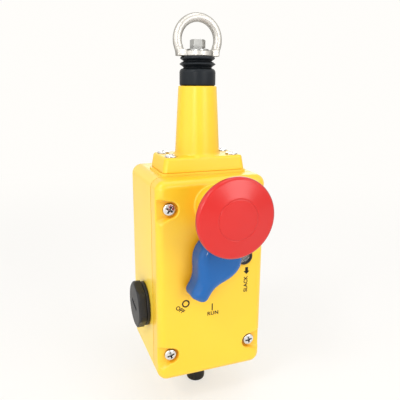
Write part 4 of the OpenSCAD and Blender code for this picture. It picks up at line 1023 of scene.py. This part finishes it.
def plate_mesh(outlines):
    """Closed flat outlines given a small thickness. Each outline is a list of (x, y)."""
    bm = bmesh.new()
    for outline in outlines:
        face = bm.faces.new([bm.verts.new((x, y, -MARK_THICK / 2)) for x, y in outline])
        grown = bmesh.ops.extrude_face_region(bm, geom=[face])
        for v in grown["geom"]:
            if isinstance(v, bmesh.types.BMVert):
                v.co.z += MARK_THICK
    return mesh_from(bm, "plate")


def ring_mesh(outer, inner, around=48):
    """A flat ring as short straight pieces side by side."""
    turns = (2 * math.pi * i / around for i in range(around + 1))
    spots = [(math.cos(a), math.sin(a)) for a in turns]
    return plate_mesh([[(r * c, r * s) for r, (c, s) in ((outer, a), (outer, b), (inner, b),
                                                         (inner, a))]
                       for a, b in zip(spots, spots[1:])])


bar = [(-0.5, -3), (0.5, -3), (0.5, 3), (-0.5, 3)]
arrow = [(0, -3), (2.7, -0.2), (1.25, -0.2), (1.25, 3), (-1.25, 3), (-1.25, -0.2), (-2.7, -0.2)]
printed("mark_on_bar", plate_mesh([bar]), 0, -22.7)
printed("mark_off_ring", ring_mesh(3.15, 2.0), -22.0, -16.2)
printed("mark_run", word_mesh("RUN", 4.4, 1.1), 0.6, -28.1)
printed("mark_off", word_mesh("OFF", 4.6), -26.6, -20.6, -40)
printed("mark_slack", word_mesh("SLACK", 4.5), 28.7, -7.6, 90)
printed("mark_arrow", plate_mesh([arrow]), 29.1, 3.9)
print("marks printed")

# %% [markdown]
# The set is a plain pale floor that fades into white away from the part, so no horizon shows.
# Only the camera sees the fade: the light itself falls on the whole floor.

# %% Floor
FLOOR_Z = dust_low[2] * MM
FLOOR_HALF = 6
WHITE = (1.0, 0.985, 0.955, 1)
FADE_FROM, FADE_TO = 0.08, 1.0
floor_mesh = bpy.data.meshes.new("floor")
floor_mesh.from_pydata([(x * FLOOR_HALF, y * FLOOR_HALF, FLOOR_Z)
                        for x, y in ((-1, -1), (1, -1), (1, 1), (-1, 1))], [], [(0, 1, 2, 3)])
floor = bpy.data.objects.new("floor", floor_mesh)
bpy.context.scene.collection.objects.link(floor)
floor_finish = finish("floor_finish", (0.93, 0.92, 0.91), (0.94, 0.93, 0.92), drift=2,
                      rough=(0.6, 0.7), grain=60, depth=0.02, edge=0)
floor_mesh.materials.append(floor_finish)

tree = floor_finish.node_tree
here = add_node(tree, "ShaderNodeNewGeometry").outputs["Position"]
distance = add_node(tree, "ShaderNodeVectorMath", here, settings={"operation": "LENGTH"})
fade = add_node(tree, "ShaderNodeMapRange", Value=distance.outputs["Value"],
                From_Min=FADE_FROM, From_Max=FADE_TO, To_Min=0.6, To_Max=1.0,
                settings={"interpolation_type": "SMOOTHERSTEP"})
seen = add_node(tree, "ShaderNodeLightPath").outputs["Is Camera Ray"]
share = add_node(tree, "ShaderNodeMath", fade.outputs["Result"], seen,
                 settings={"operation": "MULTIPLY"})
white = add_node(tree, "ShaderNodeEmission", Color=WHITE, Strength=1.0)
shown = add_node(tree, "ShaderNodeMixShader", share.outputs[0],
                 tree.nodes["Principled BSDF"].outputs[0], white.outputs[0])
tree.links.new(shown.outputs[0], tree.nodes["Material Output"].inputs["Surface"])
print("floor at", round(FLOOR_Z, 4))

# %% [markdown]
# The world is a soft, even room light. What the camera, a polished metal or the clear window
# looks at is a brighter white, as round a product on a light table.

# %% World
world = bpy.data.worlds.new("studio")
bpy.context.scene.world = world
world.use_nodes = True
tree = world.node_tree
tree.nodes.clear()
room = add_node(tree, "ShaderNodeBackground", Color=(1.0, 0.99, 0.975, 1), Strength=0.44)
plain = add_node(tree, "ShaderNodeBackground", Color=WHITE, Strength=1.0)
path = add_node(tree, "ShaderNodeLightPath")
straight = path.outputs["Is Camera Ray"]
for kind in ("Is Glossy Ray", "Is Transmission Ray"):
    straight = add_node(tree, "ShaderNodeMath", straight, path.outputs[kind],
                        settings={"operation": "MAXIMUM"}).outputs[0]
around = add_node(tree, "ShaderNodeMixShader", straight, room.outputs[0], plain.outputs[0])
add_node(tree, "ShaderNodeOutputWorld", Surface=around.outputs[0])
print("world ready")

# %% [markdown]
# Large panels give wide, gentle highlights. The key stands high on the right, one more lights
# the front, and others open up the side wall, the top and the back. Two small ones on the
# left only draw the glints on the knob and the cap.

# %% Lamps
def panel(name, at, aim, size, power, tint=(1, 1, 1)):
    """A square area lamp that faces a point."""
    data = bpy.data.lights.new(name, "AREA")
    data.shape, data.size, data.energy, data.color = "SQUARE", size, power, tint
    lamp = bpy.data.objects.new(name, data)
    bpy.context.scene.collection.objects.link(lamp)
    lamp.location = at
    lamp.rotation_mode = "QUATERNION"
    lamp.rotation_quaternion = (Vector(aim) - Vector(at)).to_track_quat("-Z", "Y")


panel("key", (0.90, -0.70, 0.85), (0, -0.05, 0.05), 0.7, 2.6)
panel("front", (0.50, -1.20, 0.36), (0, -0.05, 0.08), 0.5, 4.0)
panel("glint", (-0.75, -0.52, 0.95), (0, -0.05, 0.03), 0.28, 3.8)
panel("spark", (-0.70, -1.00, 0.27), (0, -0.08, 0.03), 0.22, 2.6)
panel("side", (-1.0, -0.25, 0.3), (0, -0.05, 0.0), 0.9, 2.7)
panel("top", (0.1, -0.25, 1.2), (0, -0.05, 0.05), 0.7, 3.4)
panel("back", (0.55, 1.05, 0.6), (0, -0.04, 0.03), 0.8, 3.2)
bpy.context.scene.view_settings.view_transform = "Standard"
print("lamps ready")
